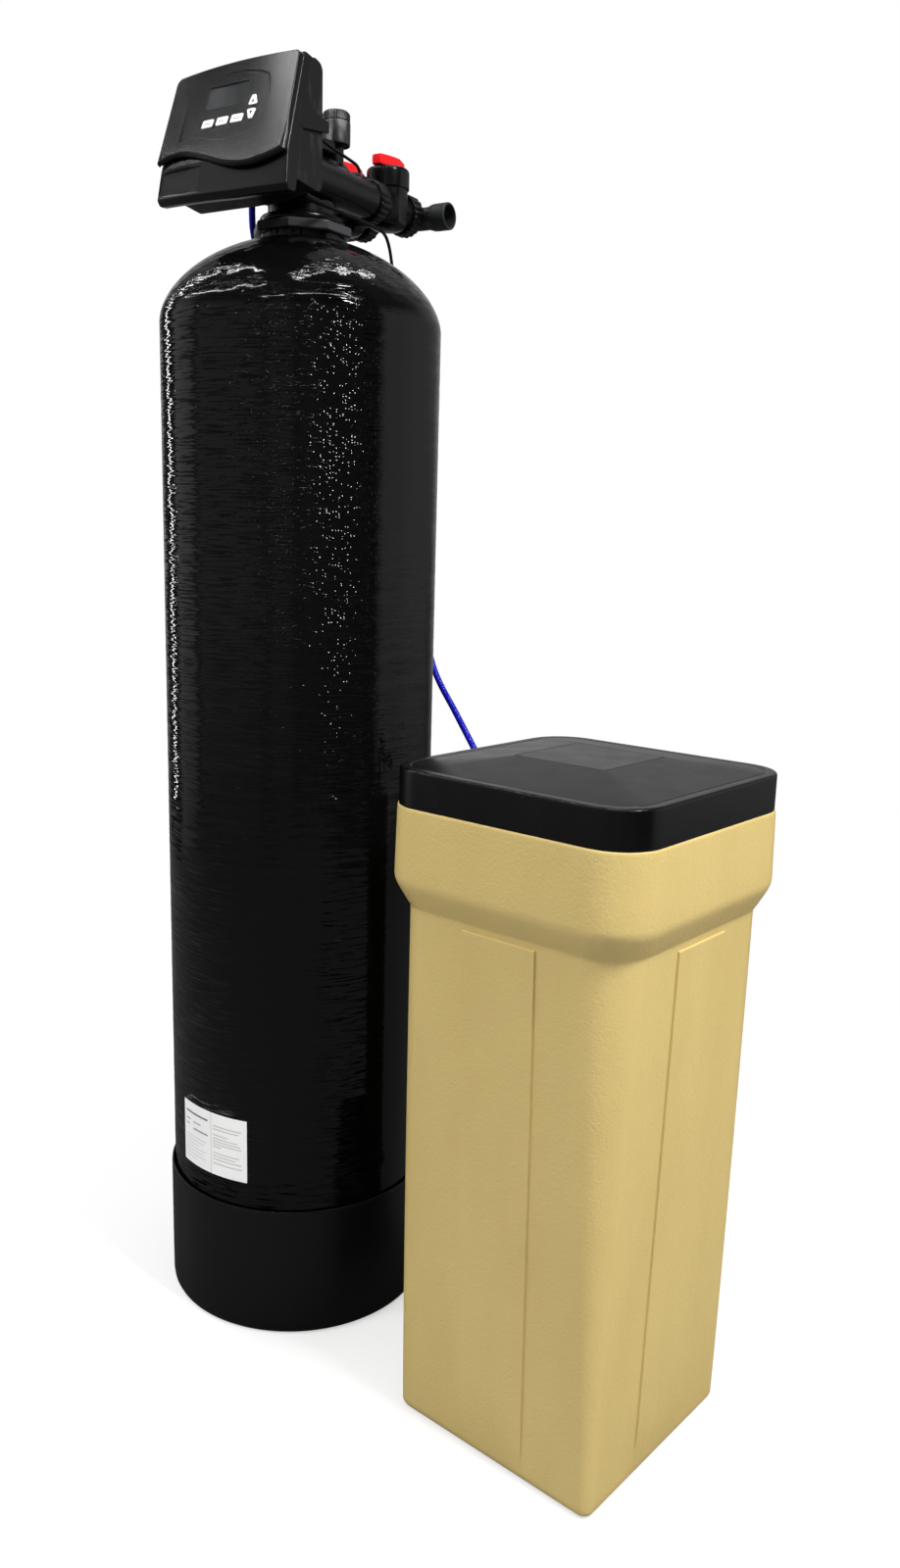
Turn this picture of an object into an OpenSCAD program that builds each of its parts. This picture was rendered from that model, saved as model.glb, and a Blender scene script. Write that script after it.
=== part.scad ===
// Water softener: pressure tank, control head, bypass valve and brine tank.
// Millimetres. Origin on the floor under the pressure tank, Z up, head faces -Y.

/* [Mineral tank] */
// Outside radius of the wound pressure tank
tank_r = 166; // [155:1:180]
// Wall of the pressure tank
tank_wall = 5; // [4:0.5:7]
// Height where the straight side ends and the top dome begins
dome_z = 1225; // [1100:5:1400]
// Rise of the top dome
dome_h = 104; // [98:1:112]
// Height of the boot around the tank bottom
boot_h = 168; // [130:1:220]
// Wall of the boot
boot_wall = 3; // [2:0.5:5]
// Top of the gravel layer
gravel_z = 120; // [110:1:140]
// Top of the resin bed
resin_z = 820; // [400:5:1000]

/* [Control head] */
// Width of the head cover
head_w = 178; // [172:1:200]
// Lean of the face plate from upright, degrees
tilt = 17.4; // [16:0.1:18.5]
// Thickness of the face plate
plate_t = 6; // [5:0.5:7]
// Press travel of a button
button_travel = 1.5; // [1:0.1:2]
// Clearance around a button
button_gap = 0.5; // [0.35:0.05:0.8]
// Stroke of the main piston
piston_stroke = 20; // [10:1:20]

/* [Bypass] */
// Centre distance between the two ports
port_pitch = 64; // [62:1:80]
// Distance of the bypass bodies behind the tank axis
bypass_y = 130; // [124:1:150]
// Reach of an elbow outlet beside its port
elbow_reach = 53; // [48:1:80]
// Radius of an elbow socket
socket_r = 13.4; // [12:0.1:13.8]
// Length of a handle
handle_l = 65; // [50:1:68]

/* [Brine tank] */
// Brine tank centre, to the side
brine_x = 430.5; // [400:0.5:600]
// Brine tank centre, front to back
brine_y = -62.5; // [-150:0.5:100]
// Turn of the brine tank, degrees
brine_yaw = -9.7; // [-15:0.1:15]
// Rim height of the brine tank
brine_h = 717; // [680:1:800]
// Half width of the rim band
band_a = 158; // [150:1:175]
// Half width at the floor
foot_a = 132; // [120:1:140]
// Wall of the brine tank
brine_wall = 4; // [3:0.5:5]
// Width of the raised panel on each side
panel_w = 92; // [70:1:110]
// Rise of the side panels above the wall
panel_t = 2; // [1:0.5:3]
// Height of the lid at its edge
lid_h = 40; // [30:1:60]
// Rise of the lid's hipped top above its edge
lid_rise = 12; // [6:1:16]
// Half width of the flat on top of the lid
hatch_a = 57; // [40:1:70]
// Outside radius of the brine well
well_r = 50; // [40:1:54]

/* [Cords] */
// Outside diameter of the brine tube
tube_d = 8; // [6:0.5:9]
// Outside diameter of the power lead
lead_d = 4; // [3:0.5:5]
// Outside diameter of the meter cable
cable_d = 3.6; // [3:0.2:4.4]

/* [Hidden] */
$fn = 64;
e = 0.02;
black = [0.07, 0.07, 0.075];
grey = [0.2, 0.2, 0.21];
white = [0.9, 0.9, 0.88];
tan_c = [0.8, 0.7, 0.46];
red = [0.85, 0.06, 0.08];
blue = [0.04, 0.05, 0.55];
brass = [0.75, 0.6, 0.3];

// Tank derived values
dome_n = 1.8;
foot_r = 80;
bot_h = 90;
zb = 14;
zf = zb + tank_wall;
ri = tank_r - tank_wall;
neck_r = 50;
ins_r = 42;
ins_h = 36;
boss_r = 46;
zs = dome_z + dome_h - 1;
boot_ri = tank_r + 1.5;
boot_ro = boot_ri + boot_wall;
riser_r = 13.35;

// Valve derived values, heights above the seat on the tank neck
bar_z = zs + 68;
bar_r = 32;
bore_r = 26;
fit = 0.3;
px = port_pitch / 2;
pz = zs + 58;
by = bypass_y;
pipe_end = by - 42;
inj = [18, 41];
drn = [-16, 20];
rod_r = 5;
red_c = [26, bar_z + 31];
mot_c = [8, bar_z + 49];
plug_y = pipe_end - 19;

// Head derived values
hw = head_w / 2;
face_y = -144;
face_z = zs + 56;
ct = cos(tilt);
st = sin(tilt);
q0 = [face_y + (plate_t + 0.05) * ct, face_z - (plate_t + 0.05) * st];
q1 = q0 + 100 * [st, ct];
i0 = q0 + 3 * [ct, -st];
i1 = i0 + 97 * [st, ct];
lcd = [-4.5, 67];
btn = [[-26, 37.3], [-5.8, 38], [14.4, 38.7]];
btn_up = [33.8, 55.6];
btn_dn = [33.8, 40];
board_z = -plate_t - 7;
chin = 5;
chin_a = atan(chin / (q0[1] - zs - 16));
crown = 3.4;

// Brine derived values
mid_a = band_a - 13;
mid_z = brine_h - 109;
bnd_z = brine_h - 79;
mid_r = 48;
bnd_r = 50;
foot_rr = 14;
floor_t = 5;
lid_a = band_a - 2.2;
lean = atan((mid_a - foot_a) / mid_z);
grid_z = 100;
well_c = [-70, 70];
well_top = brine_h - 77;
blk_y = well_c[1];
blk_z = brine_h - 17;
head_zf = well_top - 50;

function sup(u, n) = pow(max(0, 1 - pow(u, n)), 1 / n);
function dome(r, h, r_end, k) =
    let (ue = sup(r_end / r, dome_n))
    [for (i = [0 : k]) let (u = ue * sin(90 * i / k)) [r * sup(u, dome_n), dome_z + h * u]];
function bowl(r, z, h, k) =
    [for (i = [0 : k]) let (t = 90 * i / k) [foot_r + (r - foot_r) * sin(t), z + h * (1 - cos(t))]];
function flip(p) = [for (i = [len(p) - 1 : -1 : 0]) p[i]];
function cog(r, n, d) =
    [for (i = [0 : n - 1]) for (k = [0 : 3])
        let (a = 360 * (i + [0, 0.15, 0.45, 0.6][k]) / n, q = (k == 0 || k == 3) ? r - d : r)
        [q * cos(a), q * sin(a)]];
function wave(x) = -3 - 8.7 * sin(360 * (x + 17) / 190);
function crest(x) = 100 + crown * (1 - pow(x / (hw - 12), 2));
function arc(c, r, a0, a1, k) =
    [for (i = [0 : k]) let (a = a0 + (a1 - a0) * i / k) c + r * [cos(a), sin(a)]];

// Swept tube helpers
function unit(v) = v / norm(v);
function bend(a, b, c, d, t) =
    0.5 * (2 * b + (c - a) * t + (2 * a - 5 * b + 4 * c - d) * t * t
    + (3 * b - a - 3 * c + d) * t * t * t);
function smooth_path(p, k) = let (n = len(p) - 1)
    concat([for (i = [0 : n - 1]) for (j = [0 : k - 1])
        bend(p[max(0, i - 1)], p[i], p[i + 1], p[min(n, i + 2)], j / k)], [p[n]]);
function tan_at(p, i) = unit(p[min(len(p) - 1, i + 1)] - p[max(0, i - 1)]);
function carry(p, i, u) = i >= len(p) ? [] :
    let (t = tan_at(p, i), v = unit(u - (u * t) * t))
    concat([[v, cross(t, v)]], carry(p, i + 1, v));
module tube(p, r, m, u) {
    n = len(p);
    f = carry(p, 0, u);
    pts = [for (i = [0 : n - 1]) for (j = [0 : m - 1])
        p[i] + r * (f[i][0] * cos(360 * j / m) + f[i][1] * sin(360 * j / m))];
    side = [for (i = [0 : n - 2]) for (j = [0 : m - 1]) for (h = [0, 1])
        let (a = i * m + j, b = i * m + (j + 1) % m)
        h == 0 ? [a, a + m, b] : [b, a + m, b + m]];
    ends = [[for (j = [0 : m - 1]) j], [for (j = [m - 1 : -1 : 0]) (n - 1) * m + j]];
    polyhedron(points = pts, faces = concat(side, ends), convexity = 6);
}
function place(p) = [brine_x + p[0] * cos(brine_yaw) - p[1] * sin(brine_yaw),
    brine_y + p[0] * sin(brine_yaw) + p[1] * cos(brine_yaw), p[2]];

// Routes of the cords
back_r = boot_ro + tube_d / 2 + 0.5;
function round_back(a, z) = [back_r * cos(a), back_r * sin(a), z];
tube_end = place([-band_a - 10.6, blk_y, blk_z]);
tube_pre = place([-band_a - 20, blk_y, blk_z + 0.2]);
tube_in = place([-band_a - 34, blk_y + 3, blk_z + 5.5]);
tube_mid = round_back(44, 812);
function tube_mix(k) = tube_mid + k * (tube_in - tube_mid);
tube_route = concat([[-76, 0, zs + 44.8], [-76, 0, zs + 30], [-77, 2, zs + 16], [-84, 22, zs + 1],
    [-100, 60, zs - 18], [-117, 108, zs - 58]],
    [round_back(133, zs - 98), round_back(125, 1150), round_back(104, 1010), round_back(80, 920),
    round_back(59, 850), tube_mid], [tube_mix(0.4), tube_mix(0.78), tube_in, tube_pre, tube_end]);
lead_route = [[62, -78, zs + 24], [62, -60, zs + 23], [60, 0, zs + 22], [57, 50, zs + 22],
    [44, by - 30, zs + 25], [33, by - 5, zs + 25], [30, by + 2, zs + 14], [31, by + 6, zs - 8],
    [38, by + 20, zs - 38], [54, 168, zs - 78], [64, 176, zs - 150], [56, 184, 900], [20, 190, 600],
    [-30, 195, 300], [-64, 203, 80], [-70, 210, 30], [-76, 214, 20], [-90, 215, 20]];
cable_route = [[60, -78, zs + 92], [60, -66, zs + 92], [54, -42, zs + 93], [46, -4, zs + 92],
    [41, 30, zs + 91], [px + 5, plug_y - 14, zs + 90], [px + 1, plug_y - 2, zs + 87],
    [px, plug_y, zs + 83.2]];

module yc(r, y0, y1) {
    translate([0, y1, 0]) rotate([90, 0, 0]) cylinder(r = r, h = y1 - y0);
}
module xc(r, x0, x1) {
    translate([x0, 0, 0]) rotate([0, 90, 0]) cylinder(r = r, h = x1 - x0);
}
module ycog(r, n, d, y0, y1) {
    translate([0, y1, 0]) rotate([90, 0, 0]) linear_extrude(y1 - y0) polygon(cog(r, n, d));
}
module xprof(w, p) {
    rotate([90, 0, 90]) translate([0, 0, -w / 2]) linear_extrude(w) polygon(p);
}
module on_face() {
    translate([0, face_y, face_z]) rotate([90 - tilt, 0, 0]) children();
}
module in_brine() {
    translate([brine_x, brine_y, 0]) rotate(brine_yaw) children();
}
module rsq(a, r) {
    square([2 * a, 2 * a - 2 * r], center = true);
    square([2 * a - 2 * r, 2 * a], center = true);
    for (x = [-1, 1]) for (y = [-1, 1]) translate([x * (a - r), y * (a - r)]) circle(r);
}
module loft(a0, r0, z0, a1, r1, z1) {
    hull() for (x = [-1, 1]) for (y = [-1, 1]) {
        translate([x * (a0 - r0), y * (a0 - r0), z0]) cylinder(r = r0, h = 0.01, $fn = 32);
        translate([x * (a1 - r1), y * (a1 - r1), z1 - 0.01]) cylinder(r = r1, h = 0.01, $fn = 32);
    }
}

// Pressure tank
module tank_shell() color(black) rotate_extrude($fn = 96) polygon(concat(
    [[0, zb]], bowl(tank_r, zb, bot_h, 10), dome(tank_r, dome_h, neck_r, 14),
    [[neck_r, zs], [ins_r, zs], [ins_r, zs - ins_h], [ins_r - 5, zs - ins_h],
    [ins_r - 5, zs - ins_h - 4], [boss_r, zs - ins_h - 4]],
    flip(dome(ri, dome_h - tank_wall, boss_r, 14)), flip(bowl(ri, zf, bot_h - tank_wall, 10)),
    [[0, zf]]));
module tank_boot() color(grey) rotate_extrude($fn = 96) polygon([[0, zb], [boot_ri, zb],
    [boot_ri, boot_h], [boot_ro - 1, boot_h], [boot_ro, boot_h - 1], [boot_ro, 7],
    [boot_ro - 1.5, 3], [boot_ro - 6, 0], [0, 0]]);
module neck_insert() color(grey) translate([0, 0, zs - ins_h]) difference() {
    cylinder(r = ins_r - fit, h = ins_h);
    translate([0, 0, -1]) cylinder(r = 31.5, h = ins_h + 2);
}
module riser_tube() color(white) translate([0, 0, zf + 20]) difference() {
    cylinder(r = riser_r, h = zs + 28 - zf - 20);
    translate([0, 0, -1]) cylinder(r = 10.5, h = zs);
}
module bottom_strainer() color(white) translate([0, 0, zf]) difference() {
    union() {
        cylinder(r = 42, h = 52);
        translate([0, 0, 52]) cylinder(r1 = 42, r2 = 18, h = 14);
    }
    translate([0, 0, 20]) cylinder(r = riser_r + fit, h = 60);
    translate([0, 0, 8]) cylinder(r = 11, h = 20);
    for (a = [0 : 30 : 150]) rotate(a) translate([-60, -1, 24]) cube([120, 2, 24]);
}
module gravel_bed() color([0.55, 0.5, 0.42]) rotate_extrude($fn = 96) polygon(concat(
    [[44, zf]], [for (p = bowl(ri - 1, zf, bot_h - tank_wall, 10)) [p[0] - 0.5, p[1]]],
    [[ri - 1.5, gravel_z], [riser_r + 0.8, gravel_z], [riser_r + 0.8, zf + 69], [44, zf + 69]]));
module resin_bed() color([0.72, 0.45, 0.16]) translate([0, 0, gravel_z]) difference() {
    cylinder(r = ri - 1.5, h = resin_z - gravel_z);
    translate([0, 0, -1]) cylinder(r = riser_r + 0.8, h = resin_z);
}
module top_strainer() color(white) translate([0, 0, zs - 78]) difference() {
    cylinder(r = 24, h = 50);
    translate([0, 0, -1]) cylinder(r = riser_r + fit, h = 60);
    for (a = [0 : 30 : 150]) rotate(a) translate([-40, -0.8, 6]) cube([80, 1.6, 32]);
}
module tank_label() color(white) rotate(-113) translate([0, 0, 201]) rotate_extrude(angle = 38)
    translate([tank_r + 0.05, 0]) square([0.35, 82]);
module tank_collar() color(grey) translate([0, 0, zs]) difference() {
    rotate(22.5) cylinder(r = 58, h = 12, $fn = 8);
    translate([0, 0, -1]) cylinder(r = 40.4, h = 14);
}

// Valve body and its inside
module port_pair() {
    for (s = [-1, 1]) translate([s * px, 0, pz]) children();
}
module valve_body() color(black) {
    difference() {
        union() {
            translate([0, 0, zs - 28]) cylinder(r = 31, h = 29);
            translate([0, 0, zs]) cylinder(r = 40, h = 52);
            rotate_extrude() polygon([[20, zs + 12], [46, zs + 12], [48, zs + 14], [48, zs + 18],
                [45, zs + 21], [20, zs + 21]]);
            translate([0, 0, bar_z]) yc(bar_r, -64, 54);
            port_pair() yc(21, -6, pipe_end);
            translate([inj[0], inj[1], bar_z]) cylinder(r = 9, h = 42);
            translate([inj[0], inj[1], zs + 109]) cylinder(r = 16.2, h = 26);
            translate([drn[0], drn[1], bar_z]) cylinder(r = 10, h = 44);
            translate([0, 0, bar_z]) xc(9, -56, -20);
            translate([px, plug_y, pz]) cylinder(r = 9, h = 22);
        }
        translate([0, 0, bar_z]) yc(bore_r, -65, 44);
        port_pair() yc(13, -5, pipe_end + 1);
        translate([0, 0, zs - 29]) cylinder(r = riser_r + fit, h = 59);
        translate([0, 0, zs + 20]) cylinder(r = 10, h = 30);
        translate([inj[0], inj[1], zs + 112]) cylinder(r = 8, h = 30);
        translate([inj[0], inj[1] - 4, bar_z]) cylinder(r = 3, h = 45);
        translate([drn[0], drn[1], bar_z]) cylinder(r = 6, h = 50);
        translate([0, 0, bar_z]) xc(4, -57, -20);
        translate([px, plug_y, pz + 16]) cylinder(r = 4, h = 10);
    }
    translate([px, 0, pz]) {
        translate([0, 0, 0]) yc(1.5, plug_y - 20, plug_y + 5);
        translate([-13.5, plug_y + 2, -1.2]) cube([27, 3, 2.4]);
        translate([-1.2, plug_y + 2, -13.5]) cube([2.4, 3, 27]);
    }
}
module spacer_stack() color(grey) translate([0, 0, bar_z]) difference() {
    yc(bore_r - fit, -56, 44);
    yc(14.4, -57, 45);
    for (y = [-42, -20, 2, 24]) {
        difference() {
            yc(bore_r + 1, y - 5, y + 5);
            yc(22, y - 6, y + 6);
        }
        translate([0, y, 0]) xc(3.5, -30, 30);
        translate([0, y, -30]) cylinder(r = 3.5, h = 60);
    }
}
module main_piston() color(white) translate([0, 0, bar_z]) difference() {
    union() {
        yc(14, -20, 34);
        yc(rod_r, -94, -19);
    }
    for (y = [-12, 26]) difference() {
        yc(15, y - 1.5, y + 1.5);
        yc(12.5, y - 2, y + 2);
    }
    yc(8, 10, 35);
}
module drive_cap() color(grey) translate([0, 0, bar_z]) difference() {
    union() {
        ycog(34, 16, 2, -78, -64);
        yc(bore_r - fit, -65, -56);
    }
    yc(rod_r + 0.4, -79, -55);
}
module main_gear() color(white) translate([0, 0, bar_z]) difference() {
    union() {
        ycog(30, 36, 2.4, -92, -84);
        yc(10, -85, -82);
    }
    yc(rod_r + 0.4, -93, -81);
}
module reduction_gear() color(white) translate([red_c[0], 0, red_c[1]]) difference() {
    union() {
        ycog(10, 12, 2, -93, -84);
        yc(7, -95, -92);
        ycog(20, 40, 1.4, -100, -94);
    }
    yc(2.4, -101, -83);
}
module motor() color([0.5, 0.5, 0.52]) translate([mot_c[0], 0, mot_c[1]]) {
    yc(13, -78, -48);
    yc(4.5, -83, -77);
    yc(5, -48.1, -45);
}
module motor_pinion() color(brass) translate([mot_c[0], 0, mot_c[1]]) {
    ycog(5, 10, 1.4, -100, -94);
    yc(1.5, -101, -83.5);
}

// Head
module drive_bracket() color(grey) {
    difference() {
        xprof(head_w - 3, [[-119.5, zs + 14], [-96.5, zs + 151], [-81, zs + 151], [-78, zs + 148],
            [-78, zs + 17], [-81, zs + 14]]);
        xprof(head_w - 8, [[-130, zs + 17], [-130, zs + 148], [-81, zs + 148], [-81, zs + 17]]);
        translate([0, 0, bar_z]) yc(8, -85, -70);
        translate([mot_c[0], 0, mot_c[1]]) yc(5, -85, -70);
    }
    translate([red_c[0], 0, red_c[1]]) yc(2, -102, -80);
}
module side_arm() {
    polygon([[-114, zs + 80], [-80, zs + 84], [-67, zs + 85], [-67, zs + 96], [-79, zs + 97],
        [-89, zs + 99], [-96, zs + 104], [-101, zs + 113], [-114, zs + 113]]);
}
module front_case() color(black) {
    difference() {
        xprof(head_w, [[-120, zs + 12], [-134 - chin, zs + 12], [q0[0] - chin, zs + 16], q0, q1,
            [q1[0] + 3, zs + 153], [-97, zs + 153]]);
        xprof(head_w - 6, [[-60, zs + 15], [-132.5 - chin, zs + 15], [i0[0] - chin, zs + 18], i0, i1,
            [i1[0] + 1, zs + 150], [-60, zs + 150]]);
        on_face() translate([-48, 24, -14]) cube([96, 66, 12]);
        translate([-hw + 5, q0[0], q0[1]]) rotate([-chin_a, 0, 0])
            translate([0, -1, -32]) cube([48, 1.8, 27]);
    }
    on_face() for (x = [-52, 52]) for (s = [17, 93]) translate([x, s, board_z])
        cylinder(r = 3, h = 4.5);
    for (s = [-1, 1]) translate([s * (hw - 0.25), 0, 0]) xprof_arm();
}
module xprof_arm() {
    rotate([90, 0, 90]) translate([0, 0, -1.25]) linear_extrude(2.5) side_arm();
}
module plate_shape() {
    polygon(concat([for (i = [0 : 20]) let (x = -hw - 0.5 + i * (head_w + 1) / 20) [x, wave(x)]],
        arc([hw - 12, 91], 9, 0, 90, 5), [for (k = [-3 : 3]) let (x = -k * (hw - 12) / 4) [x, crest(x)]],
        arc([-hw + 12, 91], 9, 90, 180, 5)));
}
module shield_shape() {
    polygon([[-62, 24], [-48, 22], [-32, 22], [-18, 18.5], [-3, 17], [12, 18], [27, 21.5], [40, 26],
        [47, 31], [50, 40], [50, 64], [49.5, 76], [47, 83], [41, 87], [30, 90], [21, 91.5], [-4, 91.5],
        [-20, 90], [-37, 86], [-60, 79], [-62, 65]]);
}
module key(s) {
    w = 7.6 + s;
    h = 4.3 + s;
    polygon([[-w - 0.8, -h], [w - 0.8, -h], [w + 0.8, h], [-w + 0.8, h]]);
}
module arrow_key(s) {
    polygon([[-6 - s, -5.5 - s], [6 + s, -5.5 - s], [2.2 + s * 0.6, 5.5 + s],
        [-2.2 - s * 0.6, 5.5 + s]]);
}
module face_plate() color(black) on_face() difference() {
    translate([0, 0, -plate_t]) linear_extrude(plate_t) plate_shape();
    translate([0, 0, -0.8]) linear_extrude(2) shield_shape();
    translate([lcd[0] - 29, lcd[1] - 13.5, -3]) cube([58, 27, 4]);
    translate([lcd[0] - 27, lcd[1] - 11.5, -plate_t - 1]) cube([54, 23, 9]);
    for (b = btn) translate([b[0], b[1], -plate_t - 1]) linear_extrude(plate_t + 2) key(button_gap);
    translate([btn_up[0], btn_up[1], -plate_t - 1]) linear_extrude(plate_t + 2)
        arrow_key(button_gap);
    translate([btn_dn[0], btn_dn[1], -plate_t - 1]) mirror([0, 1, 0])
        linear_extrude(plate_t + 2) arrow_key(button_gap);
}
module display_window() color([0.16, 0.17, 0.18]) on_face()
    translate([lcd[0] - 28.6, lcd[1] - 13.1, -3]) cube([57.2, 26.2, 1.8]);
module display_module() color([0.3, 0.34, 0.3]) on_face()
    translate([lcd[0] - 29.5, lcd[1] - 14, board_z]) cube([59, 28, 5.5]);
module circuit_board() color([0.05, 0.3, 0.15]) on_face() {
    translate([-56, 13, board_z - 1.6]) cube([112, 84, 1.6]);
    translate([-50, 20, board_z - 6]) cube([14, 22, 4.5]);
    translate([30, 74, board_z - 8]) cube([16, 12, 6.5]);
    for (b = concat(btn, [btn_up, btn_dn])) translate([b[0] - 3, b[1] - 3, board_z - e])
        cube([6, 6, 1.2]);
}
module press_key(b) {
    on_face() translate([b[0], b[1], board_z + 1.2 + button_travel + 0.4]) children();
}
key_h = -board_z - 1.2 - button_travel - 0.4 + 0.6;
module button_left() color(white) press_key(btn[0]) linear_extrude(key_h) key(0);
module button_middle() color(white) press_key(btn[1]) linear_extrude(key_h) key(0);
module button_right() color(white) press_key(btn[2]) linear_extrude(key_h) key(0);
module button_up() color(white) press_key(btn_up) linear_extrude(key_h) arrow_key(0);
module button_down() color(white) press_key(btn_dn) mirror([0, 1, 0]) linear_extrude(key_h)
    arrow_key(0);

// Fittings on the valve body
module injector_cap() color(black) translate([inj[0], inj[1], zs + 135]) {
    linear_extrude(9) polygon(cog(16.5, 30, 0.8));
    translate([0, 0, 8.9]) cylinder(r1 = 15.4, r2 = 13, h = 2.1);
    translate([0, 0, -8]) cylinder(r = 7.5, h = 8.1);
}
module injector() color(white) translate([inj[0], inj[1], zs + 112]) difference() {
    cylinder(r = 7.5, h = 14);
    translate([0, 0, -1]) cylinder(r = 1.6, h = 16);
}
module drain_elbow() color(black) translate([drn[0], drn[1], zs + 112]) difference() {
    union() {
        cylinder(r = 10, h = 12);
        translate([0, 0, 12]) sphere(r = 10);
        translate([0, 0, 12]) xc(10, -14, 0);
        translate([0, 0, 12]) xc(7.5, -52, 0);
    }
    translate([0, 0, -1]) cylinder(r = 6, h = 13);
    translate([0, 0, 12]) xc(5, -53, 0);
}
module refill_elbow() color(black) translate([-76, 0, 0]) difference() {
    union() {
        translate([0, 0, bar_z]) xc(9, 0, 20);
        translate([0, 0, bar_z]) sphere(r = 9);
        translate([0, 0, zs + 48]) cylinder(r = 7.2, h = 20);
        translate([0, 0, zs + 45]) cylinder(r = 9.5, h = 9, $fn = 6);
    }
    translate([0, 0, bar_z]) xc(3.5, 0, 21);
    translate([0, 0, zs + 47]) cylinder(r = 3, h = 21);
}
module meter_turbine() color(white) translate([px, 0, pz]) difference() {
    union() {
        yc(4, plug_y - 18, plug_y - 2);
        for (a = [0 : 45 : 135]) rotate([0, a, 0]) translate([-11.6, plug_y - 16, -0.7])
            cube([23.2, 12, 1.4]);
    }
    yc(1.9, plug_y - 19, plug_y);
}
module meter_plug() color(grey) translate([px, plug_y, zs + 80]) {
    cylinder(r = 6, h = 3);
    translate([0, 0, -5]) cylinder(r = 3.6, h = 5.1);
}
module meter_cable() color(black) tube(smooth_path(cable_route, 2), cable_d / 2, 8, [1, 0, 0]);

// Bypass valve, side s
module bypass_body(s) translate([s * px, by, 0]) difference() {
    union() {
        rotate_extrude() polygon([[0, zs + 32], [17, zs + 32], [22, zs + 34.5], [24.5, zs + 40],
            [24.5, zs + 92], [0, zs + 92]]);
        translate([0, 0, pz]) yc(21, -42, -32);
        translate([0, 0, pz]) yc(16.5, -33, -10);
        translate([0, 0, pz]) yc(20, 10, 40);
        translate([0, 0, pz - 8]) xc(11, s > 0 ? -px : 0, s > 0 ? 0 : px);
    }
    translate([0, 0, zs + 40]) cylinder(r = 18, h = 60);
    translate([0, 0, pz]) yc(13, -43, 41);
    translate([0, 0, pz - 8]) xc(7, s > 0 ? -px - 1 : 0, s > 0 ? 0 : px + 1);
}
module bypass_cap(s) translate([s * px, by, 0]) rotate_extrude() polygon([[7.4, zs + 92],
    [24.9, zs + 92], [24.9, zs + 79.5], [26.5, zs + 79.5], [26.5, zs + 98], [25.4, zs + 101],
    [23, zs + 103], [7.4, zs + 103]]);
module rotor(s) translate([s * px, by, 0]) difference() {
    union() {
        translate([0, 0, zs + 40.4]) cylinder(r = 17.6, h = 51);
        translate([0, 0, zs + 91]) cylinder(r = 7, h = 12.5);
    }
    translate([0, 0, pz]) yc(12, -20, 20);
    translate([0, 0, pz - 8]) xc(7, s > 0 ? -20 : 0, s > 0 ? 0 : 20);
}
module handle(s) translate([s * px, by, zs + 103.5]) intersection() {
    linear_extrude(16) polygon([[-6.5, 30 - handle_l - e + 5], [6.5, 30 - handle_l - e + 5],
        [8.5, -10], [8.5, 14], [3.5, 35], [-3.5, 35], [-8.5, 14], [-8.5, -10]]);
    xprof(40, [[-40, 0], [12, 0], [35, 6], [35, 14], [16, 15.4], [-8, 14], [-40, 12]]);
}
module bypass_body_near() color(black) bypass_body(1);
module bypass_body_far() color(black) bypass_body(-1);
module bypass_caps() color(black) {
    bypass_cap(1);
    bypass_cap(-1);
}
module rotor_near() color(white) rotor(1);
module rotor_far() color(white) rotor(-1);
module handle_near() color(red) handle(1);
module handle_far() color(red) handle(-1);
module port_nuts() color(black) port_pair() difference() {
    ycog(24.5, 20, 1.4, pipe_end - 3, by - 27);
    yc(21.4, pipe_end - 4, by - 32);
    yc(17, by - 33, by - 26);
}
module outlet_nuts() color(black) port_pair() difference() {
    ycog(24.5, 20, 1.4, by + 28, by + 47);
    yc(20.4, by + 27, by + 44);
    yc(14.5, by + 43, by + 49);
}
module elbow(s) translate([s * px, by, pz]) difference() {
    union() {
        yc(19.6, 40, 44);
        yc(14, 43, 62);
        translate([0, 62, 0]) sphere(r = 14);
        translate([0, 62, 0]) rotate([0, s * 90, 0]) {
            cylinder(r = 14, h = elbow_reach - 30);
            translate([0, 0, elbow_reach - 32]) cylinder(r1 = 14, r2 = socket_r + 2.8, h = 8);
            translate([0, 0, elbow_reach - 24.1]) cylinder(r = socket_r + 2.8, h = 24.1);
        }
    }
    yc(10.5, 39, 62);
    translate([0, 62, 0]) rotate([0, s * 90, 0]) {
        cylinder(r = 10.5, h = elbow_reach);
        translate([0, 0, elbow_reach - 22]) cylinder(r = socket_r, h = 23);
    }
}
module elbow_near() color(grey) elbow(1);
module elbow_far() color(grey) elbow(-1);

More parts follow.
